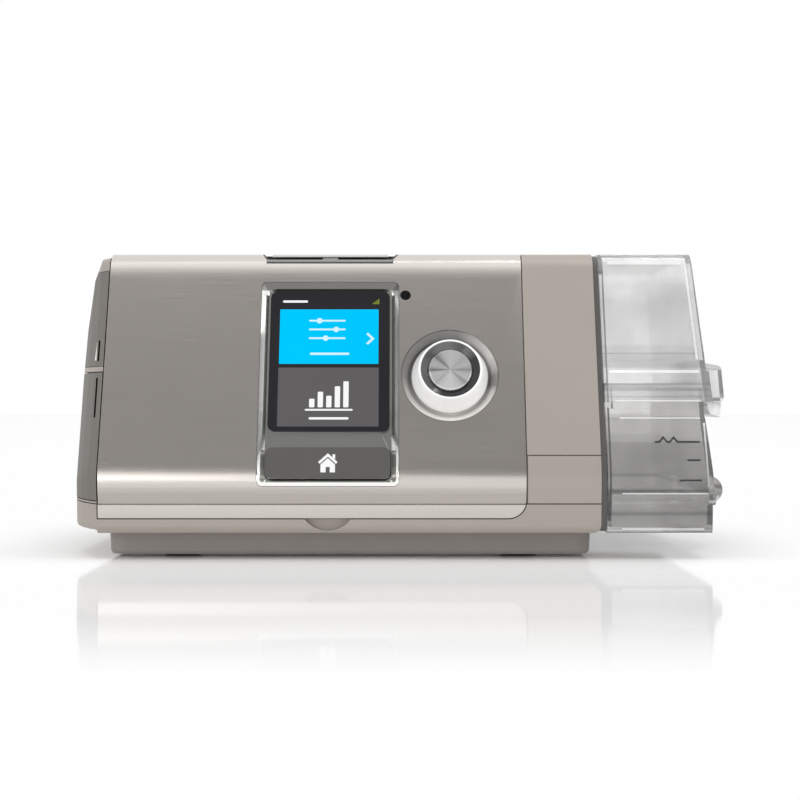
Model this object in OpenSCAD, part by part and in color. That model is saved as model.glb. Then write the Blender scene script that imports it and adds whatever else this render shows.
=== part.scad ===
// Bilevel PAP machine with a docked water tub, in millimetres.
// X runs to the right, Y to the back and Z up. The origin is on the floor, under the middle of the whole machine.
// The housing is a side profile of five tangent lines and five corner radii, drawn along X.

/* [Main unit] */
// Bulge of the left side beyond the front fascia
bulge_w = 15.1; // [12:0.1:18]
// Width of the bare housing column beside the tub
column_w = 27.7; // [26:0.1:32]
// Depth of the housing from its foremost line to its back
body_d = 139; // [136:0.5:146]
// Height of the machine on its feet
body_h = 116; // [115:0.5:122]
// Lean of the front face from upright, in degrees
face_lean = 20; // [18:0.5:22]
// Height of the foremost line of the front
nose_z = 29.5; // [28:0.1:31]
// Radius of the turn under the front face
nose_r = 20; // [17:0.5:23]
// Radius between the face and the top
top_r = 8; // [6:0.5:9]
// Radius between the top and the back
back_r = 14; // [10:0.5:15]
// Radius of the bottom edges
edge_r = 3; // [2:0.1:4]
// Tuck of the housing under the foremost line, in degrees
tuck_a = 4; // [2:0.5:6]
// Height of the seam between the upper and lower housing
seam_z = 20.8; // [20.6:0.1:21.2]
// Gap at the seams between outer mouldings
seam_w = 0.4; // [0.3:0.05:0.6]
// Thickness of the housing walls
wall = 2.1; // [1.8:0.1:2.3]

/* [Left side] */
// Radius of the bulge seen from above
bulge_r = 84; // [80:1:100]
// Radius of the bulge seen from the front
bulge_vert_r = 430; // [380:10:500]
// Height where the bulge is widest
wide_z = 31; // [29:0.5:34]
// Depth behind the face where the bulge is widest
wide_n = 48; // [44:0.5:52]
// Run of the rear rounding of the bulge
rear_run = 30; // [24:0.5:36]
// Drop of the side's top below the top of the machine
side_top_in = 1.6; // [1.2:0.1:2.4]
// Thickness of the side covers
cover_t = 1.8; // [1.6:0.1:2]
// Depth of the side covers from the foremost line
cover_d = 88; // [84:0.5:92]
// Height of the lower edge of the card door
door_z = 22; // [21.8:0.1:23]
// Height of the upper edge of the card door
door_top = 69.6; // [66:0.2:71]
// Height of the housing rib between the two covers
cover_rib = 2.4; // [2:0.1:3.2]
// Drop of the adapter cover's upper edge below the top of the machine
cover_drop = 7; // [6:0.2:9]

/* [Front fascia] */
// Thickness of the fascia
fascia_t = 1.8; // [1.6:0.1:2]
// Depth that the fascia wraps back over the top
fascia_d = 104; // [96:1:110]
// Tuck of the fascia under the foremost line, in degrees
fascia_tuck = 14; // [12:0.5:15]
// Height of the crease above the fascia's lip
crease_z = 20.4; // [20:0.1:20.6]
// Height of the lower edge of the fascia
lip_z = 15.5; // [15:0.1:16]
// Radius of the fascia's lower right corner
corner_r = 6.6; // [6.6:0.1:9.6]
// Bare field to the left of the screen
bare_w = 59.1; // [57:0.1:64]
// Field between the dial and the right edge
dial_field_w = 9.6; // [9:0.1:13]
// Width of the finger scoop under the fascia
scoop_w = 17.5; // [14:0.5:22]
// Height of the finger scoop
scoop_h = 4.6; // [3.6:0.1:5]

/* [Screen and keys] */
// Width of the screen bezel
bezel_w = 52.5; // [51.5:0.1:56]
// Height of the bezel's lower edge
bezel_low = 28.1; // [27.6:0.1:28.6]
// Drop of the bezel's upper edge below the top of the machine
bezel_drop = 11.5; // [11:0.1:12]
// Radius of the bezel's corners
bezel_r = 2; // [1.4:0.1:2.4]
// Width of the sloping bevels of the bezel
bevel_w = 2.6; // [2.2:0.1:2.7]
// Depth of the bezel floor below the face
bezel_in = 3; // [2.6:0.1:3.1]
// Margin between the bezel's upper edge and the screen glass
glass_top = 2.75; // [2.7:0.05:3.2]
// Margin between the bezel's sides and the screen glass
glass_side = 3.4; // [3:0.1:4]
// Black border of the glass at the sides of the lit area
border_side = 4.2; // [3.8:0.1:5]
// Black border of the glass above and below the lit area
border_top = 1.55; // [1.4:0.05:2.2]
// Length of the home bar along the face
home_l = 12.2; // [11.6:0.1:13]
// Margin between the bezel's sides and the home bar
home_side = 3.05; // [3:0.05:4]
// Margin between the bezel's lower edge and the home bar
home_low = 2.75; // [2.7:0.05:3.2]
// Bridge of the bezel between the glass and the home bar
bridge_l = 6.2; // [5.6:0.1:7]
// Travel of the home bar
home_travel = 0.4; // [0.3:0.05:0.5]
// Radius of the light sensor window
sensor_r = 1.9; // [1.6:0.1:2.4]
// Width of the start bar
start_w = 45; // [42:0.5:46]
// Depth of the start bar from front to back
start_d = 11; // [10:0.5:12]
// Travel of the start bar
start_travel = 0.8; // [0.6:0.1:1]
// Depth of the notch for the start bar
notch_h = 2.4; // [2.2:0.1:2.8]

/* [Dial] */
// Drop of the dial's middle below the top of the machine
dial_drop = 47.4; // [46.4:0.1:48.4]
// Outer radius of the dial seat
dish_r = 18.3; // [17.6:0.1:19.5]
// Outer radius of the dial's foot
knob_r = 14.5; // [13.8:0.1:14.8]
// Radius of the dial's rim
rim_r = 11.8; // [11:0.1:12.2]
// Radius of the spun metal cap
cap_r = 8.1; // [7.6:0.1:8.6]
// Height of the dial's rim above the face
rim_h = 6.6; // [6:0.1:7.4]
// Radius of the dial shaft
shaft_r = 3; // [2.6:0.1:3.2]
// Press travel of the dial
dial_travel = 0.6; // [0.5:0.05:0.7]

/* [Base] */
// Height of the rubber feet below the plinth
foot_h = 1.2; // [0.8:0.1:1.6]
// Radius of the rubber feet
foot_r = 7; // [6:0.5:8]
// Height of the underside of the housing
base_z = 9.8; // [9.4:0.1:10.2]
// Set-back of the plinth behind the foremost line
plinth_in = 12; // [10:0.5:14]
// Corner radius of the plinth
plinth_r = 7; // [5:0.5:9]
// Radius of the screw shanks
screw_r = 1.5; // [1.2:0.1:1.7]

/* [Water tub] */
// How far the tub stands out beyond the main unit
tub_out = 53.4; // [52.4:0.1:56]
// Length of the tub's lid beyond the main unit, at its flange
lid_out = 41.1; // [40.5:0.1:41.5]
// Thickness of the clear tub walls
tub_t = 1.8; // [1.6:0.1:2]
// Thickness of the tub's walls inside the bay
dock_t = 1.9; // [1.7:0.1:2.1]
// Lean of the tub's right end, in degrees
end_lean = 4; // [3:0.5:5]
// Height of the tub's lid above its parting
lid_h = 57.6; // [57:0.1:58]
// Height of the lid's flange
flange_h = 11.6; // [11.1:0.1:12]
// Height of the neck of the base, under the parting
neck_h = 6.1; // [5.6:0.1:6.4]
// Height of the inner rim that carries the seal, above the parting
rim_up = 5.4; // [5:0.1:5.6]
// Height of the middle of the bead round the base
bead_z = 22.6; // [22.4:0.1:23.4]
// Radius of the bead round the base
bead_r = 2.2; // [1.8:0.1:2.4]
// Radius of the grip bulge at the right end
grip_r = 5.4; // [5:0.1:5.6]
// Width of the latch and grip, front to back
grip_w = 50; // [40:1:56]
// Distance of the latch and grip behind the foremost line
grip_in = 41; // [36:0.5:44]
// Sliding gap round the docked part of the tub
slide_gap = 0.5; // [0.4:0.05:0.7]
// Thickness of the docking bay's lining
liner_t = 1.5; // [1.3:0.1:1.7]
// Thickness of the dark rim between the column and the tub
rim_t = 2; // [1.6:0.1:2.4]

/* [Air path] */
// Outer radius of the air outlet
outlet_r = 11; // [10.5:0.1:11.5]
// Bore radius of the air outlet
outlet_bore_r = 9.2; // [8.8:0.1:9.4]
// How far the air outlet stands out of the back
outlet_out = 11; // [9:0.5:13]
// Depth of the recess round the air outlet
outlet_in = 10; // [9:0.5:11]
// Drop of the air path below the top of the machine
air_drop = 34; // [33:0.1:35]
// Bore radius of the air ducts
duct_r = 9; // [8.4:0.1:9]
// Wall of the air ducts
duct_t = 1.4; // [1.2:0.1:1.5]
// Bend radius of the outlet duct
bend_r = 16; // [14:0.5:18]
// Distance between the two ports of the docking seal
port_pitch = 29; // [28.5:0.1:31]
// Radius of the impeller
impeller_r = 20; // [18:0.5:20.5]
// Number of impeller blades
blades = 11; // [7:1:13]
// Radius of the motor can
motor_r = 15; // [13:0.5:16]
// Radius of the motor shaft
spindle_r = 2; // [1.5:0.1:2.5]

/* [Back] */
// Drop of the filter door's upper edge below the top of the machine
filter_drop = 17; // [16:0.5:18]
// Gap between the clip's hinge and the filter door
filter_gap = 9.6; // [9:0.2:11]
// Thickness of the filter door
filter_door_t = 2.6; // [2.4:0.1:2.8]
// Margin between the edges of the filter door and the air filter
filter_margin = 3; // [2.6:0.1:4]
// Thickness of the air filter
filter_t = 5; // [4:0.5:5.5]
// Radius of the hinge pins
pin_r = 0.9; // [0.8:0.05:1]
// Bore radius of the power inlet
inlet_r = 3.8; // [3.4:0.1:4]
// Width of the retention clip
clip_w = 20; // [18:0.5:22]

/* [Hidden] */
$fn = 64;

// Colours as the photograph shows them
housing_c = [0.67, 0.64, 0.60];
fascia_c = [0.60, 0.58, 0.55];
dark_c = [0.46, 0.44, 0.42];
bezel_c = [0.36, 0.36, 0.35];
black_c = [0.08, 0.08, 0.09];
silver_c = [0.82, 0.82, 0.82];
clear_c = [0.80, 0.82, 0.84];
board_c = [0.10, 0.35, 0.20];
rubber_c = [0.20, 0.20, 0.21];

// Small fits, named once
fit = 0.15;         // between fixed pieces that are let into each other
press_gap = 0.3;    // round keys and other pieces that travel
run_gap = 0.05;     // between a shaft and its bearing
seat_gap = 0.1;     // between pieces that rest on each other
r_min = 0.6;        // smallest corner radius of an inset profile
hull_fn = 32;       // sides of the discs that a hull joins
eps = 0.01;         // thickness of the discs that a hull joins

// Places along X
dial_gap = 1;
fascia_w = bare_w + bezel_w + dial_gap + 2 * dish_r + dial_field_w;
unit_w = bulge_w + fascia_w + column_w;
x_left = -(unit_w + tub_out) / 2;
x_cap = x_left + bulge_w;
x_fascia = x_cap + fascia_w;
x_dock = x_left + unit_w;
x_right = x_dock + tub_out;
bezel_x = x_cap + bare_w + bezel_w / 2;
dial_x = bezel_x + bezel_w / 2 + dial_gap + dish_r;
encoder_w = 12;
x_bay = dial_x + encoder_w / 2 + 2.6;
start_x = bezel_x - 0.35;
blower_x = x_cap + 57.4;
filter_x = x_cap + 37.4;

// Places along Y
y_front = -(body_d + outlet_out) / 2;
y_back = y_front + body_d;

// Depths of the skins below the outer profile
shelf_in = fascia_t + fit;
cavity_in = shelf_in + wall;
liner_in = cavity_in + fit;
bay_in = liner_in + liner_t;
tub_in = bay_in + slide_gap;

// Heights of the docking bay
floor_t = 2.2;
bay_z = base_z + 9.8;
bay_floor = bay_z + liner_t;
plate_z = bay_floor + 0.3;
plate_t = 1.2;
tub_floor = plate_z + plate_t + 0.05;

// The side profile: line normals and their distances, then the corner radii
function side_lines(tuck) = let (c = [y_front + nose_r, nose_z]) [
  [0, -1, -base_z],
  [-cos(tuck), -sin(tuck), -cos(tuck) * c[0] - sin(tuck) * c[1] + nose_r],
  [-cos(face_lean), sin(face_lean), -cos(face_lean) * c[0] + sin(face_lean) * c[1] + nose_r],
  [0, 1, body_h],
  [1, 0, y_back]
];
function meet(a, b, da, db) =
  let (p = a[2] - da, q = b[2] - db, d = a[0] * b[1] - a[1] * b[0])
  [(p * b[1] - q * a[1]) / d, (a[0] * q - b[0] * p) / d];
function normal(a) = [a[0], a[1]];

// Depth of the face plane at a height
function face_y(z) =
  y_front + nose_r * (1 - cos(face_lean)) + (z - nose_z - nose_r * sin(face_lean)) * tan(face_lean);

// Corners of the profile after it is set in on each line by the amounts in ins
function corners(lines, radii, ins) = [
  for (k = [0:4])
    let (j = (k + 1) % 5, r = radii[k])
    [meet(lines[k], lines[j], ins[k] + r, ins[j] + r), r]
];
function inset_radii(i) = [for (r = [edge_r, nose_r, top_r, back_r, edge_r]) max(r - i, r_min)];

// Side profile set in by i, with its own insets at the bottom and the top
module profile(i = 0, tuck = tuck_a, bottom = undef, top = undef) {
  lines = side_lines(tuck);
  low = bottom == undef ? i : bottom;
  high = top == undef ? i : top;
  cs = corners(lines, inset_radii(i), [low, i, i, high, i]);
  difference() {
    union() {
      polygon([for (k = [0:4]) for (m = [0, 1]) cs[k][0] + cs[k][1] * normal(lines[(k + m) % 5])]);
      for (c = cs) translate(c[0]) circle(r = c[1]);
    }
    translate([y_front - 1, base_z + low - nose_r]) square([body_d + 2, nose_r]);
  }
}

module along_x(x0, x1) translate([x0, 0, 0]) rotate([90, 0, 90]) linear_extrude(x1 - x0) children();
module along_y(y0, y1) translate([0, y1, 0]) rotate([90, 0, 0]) linear_extrude(y1 - y0) children();
module block(x0, x1, y0, y1, z0, z1) translate([x0, y0, z0]) cube([x1 - x0, y1 - y0, z1 - z0]);
// Children on the face plane: X stays, Y runs up the face, Z comes out of it
module on_face(x, z) translate([x, face_y(z), z]) rotate([90 - face_lean, 0, 0]) children();
module pin_x(r, l) rotate([0, 90, 0]) cylinder(r = r, h = l);
module pin_y(r, l) rotate([-90, 0, 0]) cylinder(r = r, h = l);
module rounded(w, l, r) {
  square([w - 2 * r, l], center = true);
  square([w, l - 2 * r], center = true);
  for (x = [-1, 1]) for (y = [-1, 1]) translate([x * (w / 2 - r), y * (l / 2 - r)]) circle(r = r);
}
module plate(w, l, r, z0, z1) translate([0, 0, z0]) linear_extrude(z1 - z0) rounded(w, l, r);
module slab(w, l, z0, z1) translate([-w / 2, -l / 2, z0]) cube([w, l, z1 - z0]);
module tube(ro, ri, h) difference() {
  cylinder(r = ro, h = h);
  translate([0, 0, -1]) cylinder(r = ri, h = h + 2);
}

// Left bulge: one hull over slices that grow from its widest point to the fascia's edge
cap_steps = 6;
cap_angle = acos(1 - bulge_w / bulge_r);
function cap_corners(drop, run, i) =
  let (
    n_front = wide_n * (1 - run) + i,
    n_back = rear_run * (1 - run) + i,
    rise = sqrt(pow(bulge_vert_r, 2) - pow(bulge_vert_r - drop, 2)),
    z_top = min(body_h - side_top_in, wide_z + rise) - i,
    z_low = max(base_z + 1.2, wide_z - 1.1 * rise) + i,
    lines = side_lines(tuck_a),
    own = [[0, -1, -z_low], lines[1], lines[2], [0, 1, z_top], lines[4]],
    r_nose = max(nose_r - n_front, 3)
  )
  corners(own, [2, r_nose, 4, max(back_r - n_back - 2, 4), 2], [0, n_front, n_front, 0, n_back]);
module bulge(i = 0) {
  hull() {
    for (k = [0:cap_steps]) {
      a = cap_angle * k / cap_steps;
      drop = bulge_r * (1 - cos(a));
      for (c = cap_corners(drop, sin(a) / sin(cap_angle), i))
        translate([x_left + drop + i, c[0][0], c[0][1]]) rotate([0, 90, 0])
          cylinder(r = c[1], h = eps, $fn = hull_fn);
    }
  }
}

// The outline of the fascia seen from the front, grown by g
module fascia_outline(g) {
  r = corner_r + g;
  x0 = x_cap;
  x1 = x_fascia + g;
  difference() {
    translate([x0, lip_z - g]) square([x1 - x0, body_h]);
    translate([x1 - r, lip_z - g - 1]) square([r + 1, r + 1]);
  }
  translate([x1 - r, lip_z - g + r]) circle(r = r);
}

// What the fascia takes away from the housing
module fascia_room() {
  difference() {
    along_y(y_front - 1, y_front + fascia_d + seam_w) fascia_outline(seam_w);
    along_x(x_cap - 1, x_fascia + 2 * seam_w) profile(shelf_in, fascia_tuck);
  }
}

// The outer body before anything is cut from it
module blank() {
  along_x(x_cap, x_dock) profile(0);
  bulge(0);
}

// What is hollow inside the housing, apart from the pad behind the card door's hinge
module cavity() difference() {
  union() {
    along_x(x_cap + 2, x_dock - wall) profile(cavity_in, fascia_tuck, floor_t);
    bulge(cavity_in + 0.3);
  }
  block(x_left, x_left + 8, hinge_y - 3.5, hinge_y + 5.5, base_z, door_top + 4);
}

// Fields of the two side covers, grown by g
module cover_field(z0, z1, g)
  block(x_left - 1, x_cap - 0.05 + g, y_front - 1, y_front + cover_d + g, z0 - g, z1 + g);

// Corner places of the housing screws
screw_x = [x_cap + 12, x_bay - 12];
screw_y = [y_front + 24, y_back - 16];
boss_r = 4;
boss_h = 16;
head_r = 2.8;
head_h = 1.8;
head_z = foot_h + 1.6;
module at_screws() for (x = screw_x) for (y = screw_y) translate([x, y, 0]) children();

// Label field in the column
label_t = 1.2;
label_top = 38.5;

// Screen and home bar, stacked between the two edges of the bezel
bezel_top = body_h - bezel_drop;
bezel_l = (bezel_top - bezel_low) / cos(face_lean);
bezel_z = (bezel_top + bezel_low) / 2;
glass_w = bezel_w - 2 * glass_side;
glass_l = bezel_l - home_low - home_l - bridge_l - glass_top;
glass_z = bezel_top - (glass_top + glass_l / 2) * cos(face_lean);
glass_r = 3;
glass_t = 1.1;
lcd_w = glass_w - 2 * border_side;
lcd_l = glass_l - 2 * border_top;
home_w = bezel_w - 2 * home_side;
home_z = bezel_low + (home_low + home_l / 2) * cos(face_lean);
key_r = 2.4;

// Start bar and the notch that it lies in
top_y = face_y(body_h - top_r) + top_r / cos(face_lean);
start_y0 = top_y - 4;
start_y1 = start_y0 + start_d;
notch_z = body_h - notch_h;
trim_t = 1.5;
notch_slope = 2.3;
bar_z = notch_z + start_travel + 0.25;
switch_h = 2.9;
bar_board_z = body_h - 14.1;
bar_board_w = 28;
board_t = 1.6;
stem_z = bar_board_z + board_t + switch_h + start_travel + 0.1;
// Outline of the notch and its trim, grown by g, mirrored about the middle of the start bar
module notch_outline(g) {
  low = start_w / 2 + 1.8 + g;
  high = low + notch_slope;
  z0 = notch_z - trim_t - g;
  translate([start_x, 0]) polygon([
    [-low, z0], [low, z0], [low, notch_z], [high, body_h], [high, body_h + 1],
    [-high, body_h + 1], [-high, body_h], [-low, notch_z]
  ]);
}
module notch_room(g) along_y(y_front + 10, start_y1 + 1.5 + g) notch_outline(g);

// Sensor window beside the screen
sensor_x = bezel_x + bezel_w / 2 + 2.6;
sensor_z = body_h - 16.6;

// Dial
dial_z = body_h - dial_drop;
dish_floor = -2.2 - dial_travel - seat_gap;
dish_back = -cavity_in + 0.05;
dish_hole_r = dish_r - 1.9;
dish_gap = 0.45;
sleeve_r = shaft_r + 1.4;
board_in = 12;

// Side covers
pocket_in = cover_t + 0.2;
adapter_z0 = door_top + cover_rib;
function side_x(z) = x_left + bulge_vert_r - sqrt(pow(bulge_vert_r, 2) - pow(z - wide_z, 2));
knuckle_r = 1.7;
hinge_y = y_front + cover_d - knuckle_r;
hinge_tilt = atan((side_x(door_top) - side_x(door_z)) / (door_top - door_z));
module at_door_hinge(z) {
  run = (z - door_z) * tan(hinge_tilt);
  translate([side_x(door_z) + knuckle_r + run, hinge_y, z]) rotate([0, hinge_tilt, 0]) children();
}
cover_top = body_h - cover_drop;
adapter_y = y_front + 70;
adapter_z = (adapter_z0 + cover_top) / 2 - 0.5;
adapter_w = 24;
adapter_h = 12;
adapter_pegs = [adapter_z0 + 3.5, cover_top - 3.5];
peg_r = 1.5;
card_y = y_front + 60;
card_z = 46;
card_w = 24;
card_l = 32;
card_t = 2.1;

// Back: filter, power inlet and clip
door_gap = 0.45;
filter_y1 = y_back - filter_door_t - press_gap;
filter_y0 = filter_y1 - filter_t;
frame_y = filter_y0 - 1.2;
inlet_x = filter_x;
inlet_z = 34;
inlet_w = 15.4;
inlet_h = 13.4;
inlet_d = 14;
clip_t = 2.4;
clip_r = clip_t / 2;
clip_top = inlet_z + 13.4;
clip_low = inlet_z - 8.4;
clip_room_y = y_back - clip_t - 0.4;
clip_hole_r = 5;
filter_door_w = body_h - filter_drop - clip_top - filter_gap;
filter_z = clip_top + filter_gap + filter_door_w / 2;
filter_w = filter_door_w - 2 * filter_margin;
frame_w = filter_w + 4.4;

// Air path
air_z = body_h - air_drop;
port_share = 0.41727;
port_y1 = y_front + port_share * body_d;
port_y2 = port_y1 + port_pitch;
duct_ro = duct_r + duct_t;
stub = 3;
outlet_x = x_bay - stub - bend_r;
outlet_y = y_back - outlet_in;
outlet_tail = 10;
recess_r = outlet_r + 5.8;
surround_w = 2 * recess_r + 5.2;
surround_r = 3;
volute_r0 = impeller_r + 2.5;
volute_grow = 16;
volute_t = 1.8;
volute_h = 8;
blower_y = port_y1 + volute_r0 + volute_grow / 2;
volute_exit = 28;
motor_top = air_z - volute_h - volute_t;
motor_h = 24;
motor_z = motor_top - motor_h;
mount_t = 3.9;
cradle_r = motor_r + mount_t + 2 * seat_gap;
foam_y = blower_y + volute_r0 + volute_grow / 2 + volute_t + 0.4;
foam_top = body_h - cavity_in - 4;
foam_low = air_z + volute_h + volute_t + press_gap;

// Chassis
chassis_z = base_z + floor_t;
chassis_top = chassis_z + 2;
board_z = chassis_top + 4;
board_x0 = x_cap + 20;
board_x1 = x_bay - 20;
board_y0 = y_front + 15;
board_y1 = y_front + 51;
sd_board_z = card_z - 3.6;

// Tub
tx0 = x_bay + liner_t + slide_gap;
tx1 = x_dock + rim_t + 0.4;
wall_in = 1;
neck_in = 1.7;
tray_in = 1.5;
tray_end = 0.9;
room_in = neck_in + tub_t;
rim_in = 3.1;
rim_wall = 1.5;
split_z = body_h - lid_h;
flange_z = split_z + flange_h;
neck_z = split_z - neck_h;
rim_top = split_z + rim_up;
rim_x = tx1 + tub_t + seat_gap;
seal_h = 1.5;
lid_room_in = wall_in + tub_t;
dock_room_in = tub_in + dock_t;
dock_rim_in = dock_room_in + seat_gap;
grip_y0 = y_front + grip_in;
function lid_end(z) = x_dock + lid_out - (z - flange_z - 3) * tan(end_lean);
function base_end(z) = x_dock + lid_out + 0.6 - (z - nose_z - 0.5) * tan(end_lean + 1);

module label_pegs(g) for (x = [x_fascia + 7, x_dock - 7])
  translate([x, y_front + label_t - 0.5, nose_z]) pin_y(1.2 + g, 3);
// Collar of the start bar's trim, which guides the stem
module collar(g, z0) block(start_x - 4.6 - g, start_x + 4.6 + g, start_y0 + 1.4 - g, start_y1 - 0.4 + g, z0, notch_z - 0.5);
module bezel_hole() on_face(bezel_x, bezel_z)
  plate(bezel_w + 2 * fit, bezel_l + 2 * fit, bezel_r + fit, -12, 4);
module housing_holes() {
  // bezel, dial, sensor
  bezel_hole();
  on_face(dial_x, dial_z) translate([0, 0, -12]) cylinder(r = dish_hole_r + fit, h = 16);
  on_face(sensor_x, sensor_z) translate([0, 0, -12]) cylinder(r = sensor_r + fit, h = 16);
  // start bar trim and stem
  notch_room(fit);
  collar(fit, bar_board_z);
  // pegs of the label strip
  label_pegs(fit);
  // docking bay mouth
  along_x(x_dock - wall - 1, x_dock + 1) profile(liner_in - seat_gap, fascia_tuck, bay_z - seat_gap - base_z);
}
module left_holes() {
  // pockets of the two covers
  difference() {
    union() {
      cover_field(door_z, door_top, seam_w);
      cover_field(adapter_z0, cover_top, 0.2);
    }
    bulge(pocket_in);
  }
  // hinge of the card door
  at_door_hinge(door_z - 0.3) cylinder(r = knuckle_r + 0.3, h = (door_top - door_z) / cos(hinge_tilt) + 0.6);
  at_door_hinge(door_z - 3) cylinder(r = pin_r + run_gap, h = door_top - door_z + 4.7);
  block(x_left - 1, x_left + 3.6, hinge_y, y_front + cover_d + 1, door_z - 0.3, door_top + 0.3);
  // windows behind the covers
  block(x_left, x_cap, card_y - card_w / 2 - 2, card_y + card_w / 2 + 2, card_z - 5, card_z + 6);
  block(x_left, x_cap + 4, adapter_y - adapter_w / 2 - fit, adapter_y + adapter_w / 2 + fit,
    adapter_z - adapter_h / 2 - fit, adapter_z + adapter_h / 2 + fit);
  // sockets for the adapter cover's pegs
  for (z = adapter_pegs) translate([x_left, adapter_y, z]) pin_x(peg_r + fit, 14);
}
module back_holes() {
  // filter door recess, window and hinge pins
  block(filter_x - filter_door_w / 2 - door_gap, filter_x + filter_door_w / 2 + door_gap,
    y_back - filter_door_t - press_gap, y_back + 1,
    filter_z - filter_door_w / 2 - door_gap, filter_z + filter_door_w / 2 + door_gap);
  block(filter_x - filter_w / 2 - fit, filter_x + filter_w / 2 + fit, y_back - 8, y_back,
    filter_z - filter_w / 2 - fit, filter_z + filter_w / 2 + fit);
  translate([filter_x - filter_door_w / 2 + filter_door_t / 2, y_back - filter_door_t / 2,
    filter_z - filter_door_w / 2 - 2.6]) cylinder(r = pin_r + run_gap, h = filter_door_w + 5.2);
  // power inlet, clip recess and clip pins
  block(inlet_x - clip_w / 2 - 0.4, inlet_x + clip_w / 2 + 0.4, clip_room_y, y_back + 1,
    clip_low - 0.4, clip_top + clip_r + 0.4);
  block(inlet_x - inlet_w / 2 - fit, inlet_x + inlet_w / 2 + fit, y_back - 8, y_back,
    inlet_z - inlet_h / 2 - fit, inlet_z + inlet_h / 2 + fit);
  translate([inlet_x - clip_w / 2 - 2.4, y_back - clip_r, clip_top]) pin_x(pin_r + run_gap, clip_w + 4.8);
  // opening for the surround of the air outlet
  surround(surround_w + 2 * fit, surround_r + fit, y_back - cavity_in - 1, y_back + 1);
}
module surround(w, r, y0, y1) along_y(y0, y1) translate([outlet_x, air_z]) rounded(w, w, r);
grille_pitch = (filter_w - 1) / 5;
module inner_bosses() {
  at_screws() translate([0, 0, seam_z + seam_w / 2]) cylinder(r = boss_r, h = boss_h);
  // ribs from the bosses to the front and back walls
  intersection() {
    for (x = screw_x) {
      block(x - 1, x + 1, y_front, screw_y[0], seam_z + seam_w / 2, seam_z + 3);
      block(x - 1, x + 1, screw_y[1], y_back, seam_z + seam_w / 2, seam_z + boss_h);
    }
    along_x(x_cap + 1, x_dock) profile(shelf_in + 0.6, fascia_tuck);
  }
  // frame that holds the air filter, with its grille
  difference() {
    block(filter_x - frame_w / 2, filter_x + frame_w / 2, frame_y, filter_y1,
      filter_z - frame_w / 2, filter_z + frame_w / 2);
    block(filter_x - filter_w / 2 - fit, filter_x + filter_w / 2 + fit, filter_y0 - seat_gap, y_back,
      filter_z - filter_w / 2 - fit, filter_z + filter_w / 2 + fit);
    for (k = [-2:2]) block(filter_x - filter_w / 2 + 1, filter_x + filter_w / 2 - 1, frame_y - 1, filter_y0,
      filter_z + (k - 0.5) * grille_pitch + 1, filter_z + (k + 0.5) * grille_pitch - 1);
  }
}

module upper_housing() color(housing_c) difference() {
  union() {
    difference() {
      intersection() {
        blank();
        block(x_left - 1, x_dock, y_front - 1, y_back + 1, seam_z + seam_w / 2, body_h + 1);
      }
      cavity();
      fascia_room();
      housing_holes();
      left_holes();
      back_holes();
      // seat of the label strip
      difference() {
        block(x_fascia + seam_w, x_dock + 1, y_front - 1, y_front + 14, seam_z, label_top + seam_w);
        along_x(x_fascia, x_dock + 2) profile(label_t + seat_gap);
      }
    }
    inner_bosses();
  }
  at_screws() translate([0, 0, seam_z]) cylinder(r = screw_r + run_gap, h = boss_h - 1);
}

// Recess of the air outlet, let into the back wall and held by a tab above and one below
module outlet_surround() color(housing_c) difference() {
  union() {
    surround(surround_w, surround_r, y_back - cavity_in, y_back);
    block(outlet_x - 5, outlet_x + 5, y_back - cavity_in - 1.8, y_back - cavity_in - fit,
      air_z - surround_w / 2 - 1.2, air_z + surround_w / 2 + 1.2);
    translate([outlet_x, outlet_y - 2.6, air_z]) pin_y(recess_r + 1.6, outlet_in - 1);
  }
  translate([outlet_x, outlet_y - 2, air_z]) pin_y(recess_r, outlet_in + 3);
  translate([outlet_x, outlet_y - 4, air_z]) pin_y(duct_ro + 1.2, outlet_in + 3);
}

scoop_r = (pow(scoop_w / 2, 2) + pow(scoop_h, 2)) / (2 * scoop_h);
scoop_in = 3;
module lower_housing() color(housing_c) difference() {
  union() {
    difference() {
      intersection() {
        blank();
        block(x_left - 1, x_dock, y_front - 1, y_back + 1, base_z - 1, seam_z - seam_w / 2);
      }
      cavity();
      fascia_room();
      housing_holes();
      at_door_hinge(door_z - 3) cylinder(r = pin_r + run_gap, h = 4);
      // finger scoop under the fascia
      translate([bezel_x, y_front - 1, lip_z - scoop_h + scoop_r]) pin_y(scoop_r, scoop_in + 2);
      // rounded lower edge at the dock
      difference() {
        block(x_dock - edge_r, x_dock + 1, y_front - 2, y_back + 2, base_z - 1, base_z + edge_r);
        translate([x_dock - edge_r, y_front - 3, base_z + edge_r]) pin_y(edge_r, body_d + 6);
      }
    }
    at_screws() translate([0, 0, base_z + 0.5]) cylinder(r = boss_r, h = seam_z - seam_w / 2 - base_z - 0.5);
  }
  at_screws() translate([0, 0, base_z - 1]) cylinder(r = screw_r + 0.2, h = 20);
}

module front_fascia() color(fascia_c) difference() {
  intersection() {
    union() {
      intersection() {
        along_x(x_cap + seam_w, x_fascia) profile(0, fascia_tuck);
        block(x_cap, x_dock, y_front - 1, y_back, crease_z, body_h + 1);
      }
      intersection() {
        along_x(x_cap + seam_w, x_fascia) profile(fit);
        block(x_cap, x_dock, y_front - 1, y_front + 20, lip_z, crease_z);
      }
    }
    along_y(y_front - 1, y_front + fascia_d) fascia_outline(0);
  }
  along_x(x_cap, x_fascia + 1) profile(fascia_t, fascia_tuck);
  bezel_hole();
  on_face(dial_x, dial_z) translate([0, 0, -9]) cylinder(r = dish_r + fit, h = 12);
  on_face(sensor_x, sensor_z) translate([0, 0, -9]) cylinder(r = sensor_r + fit, h = 12);
  notch_room(fit);
}

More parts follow.
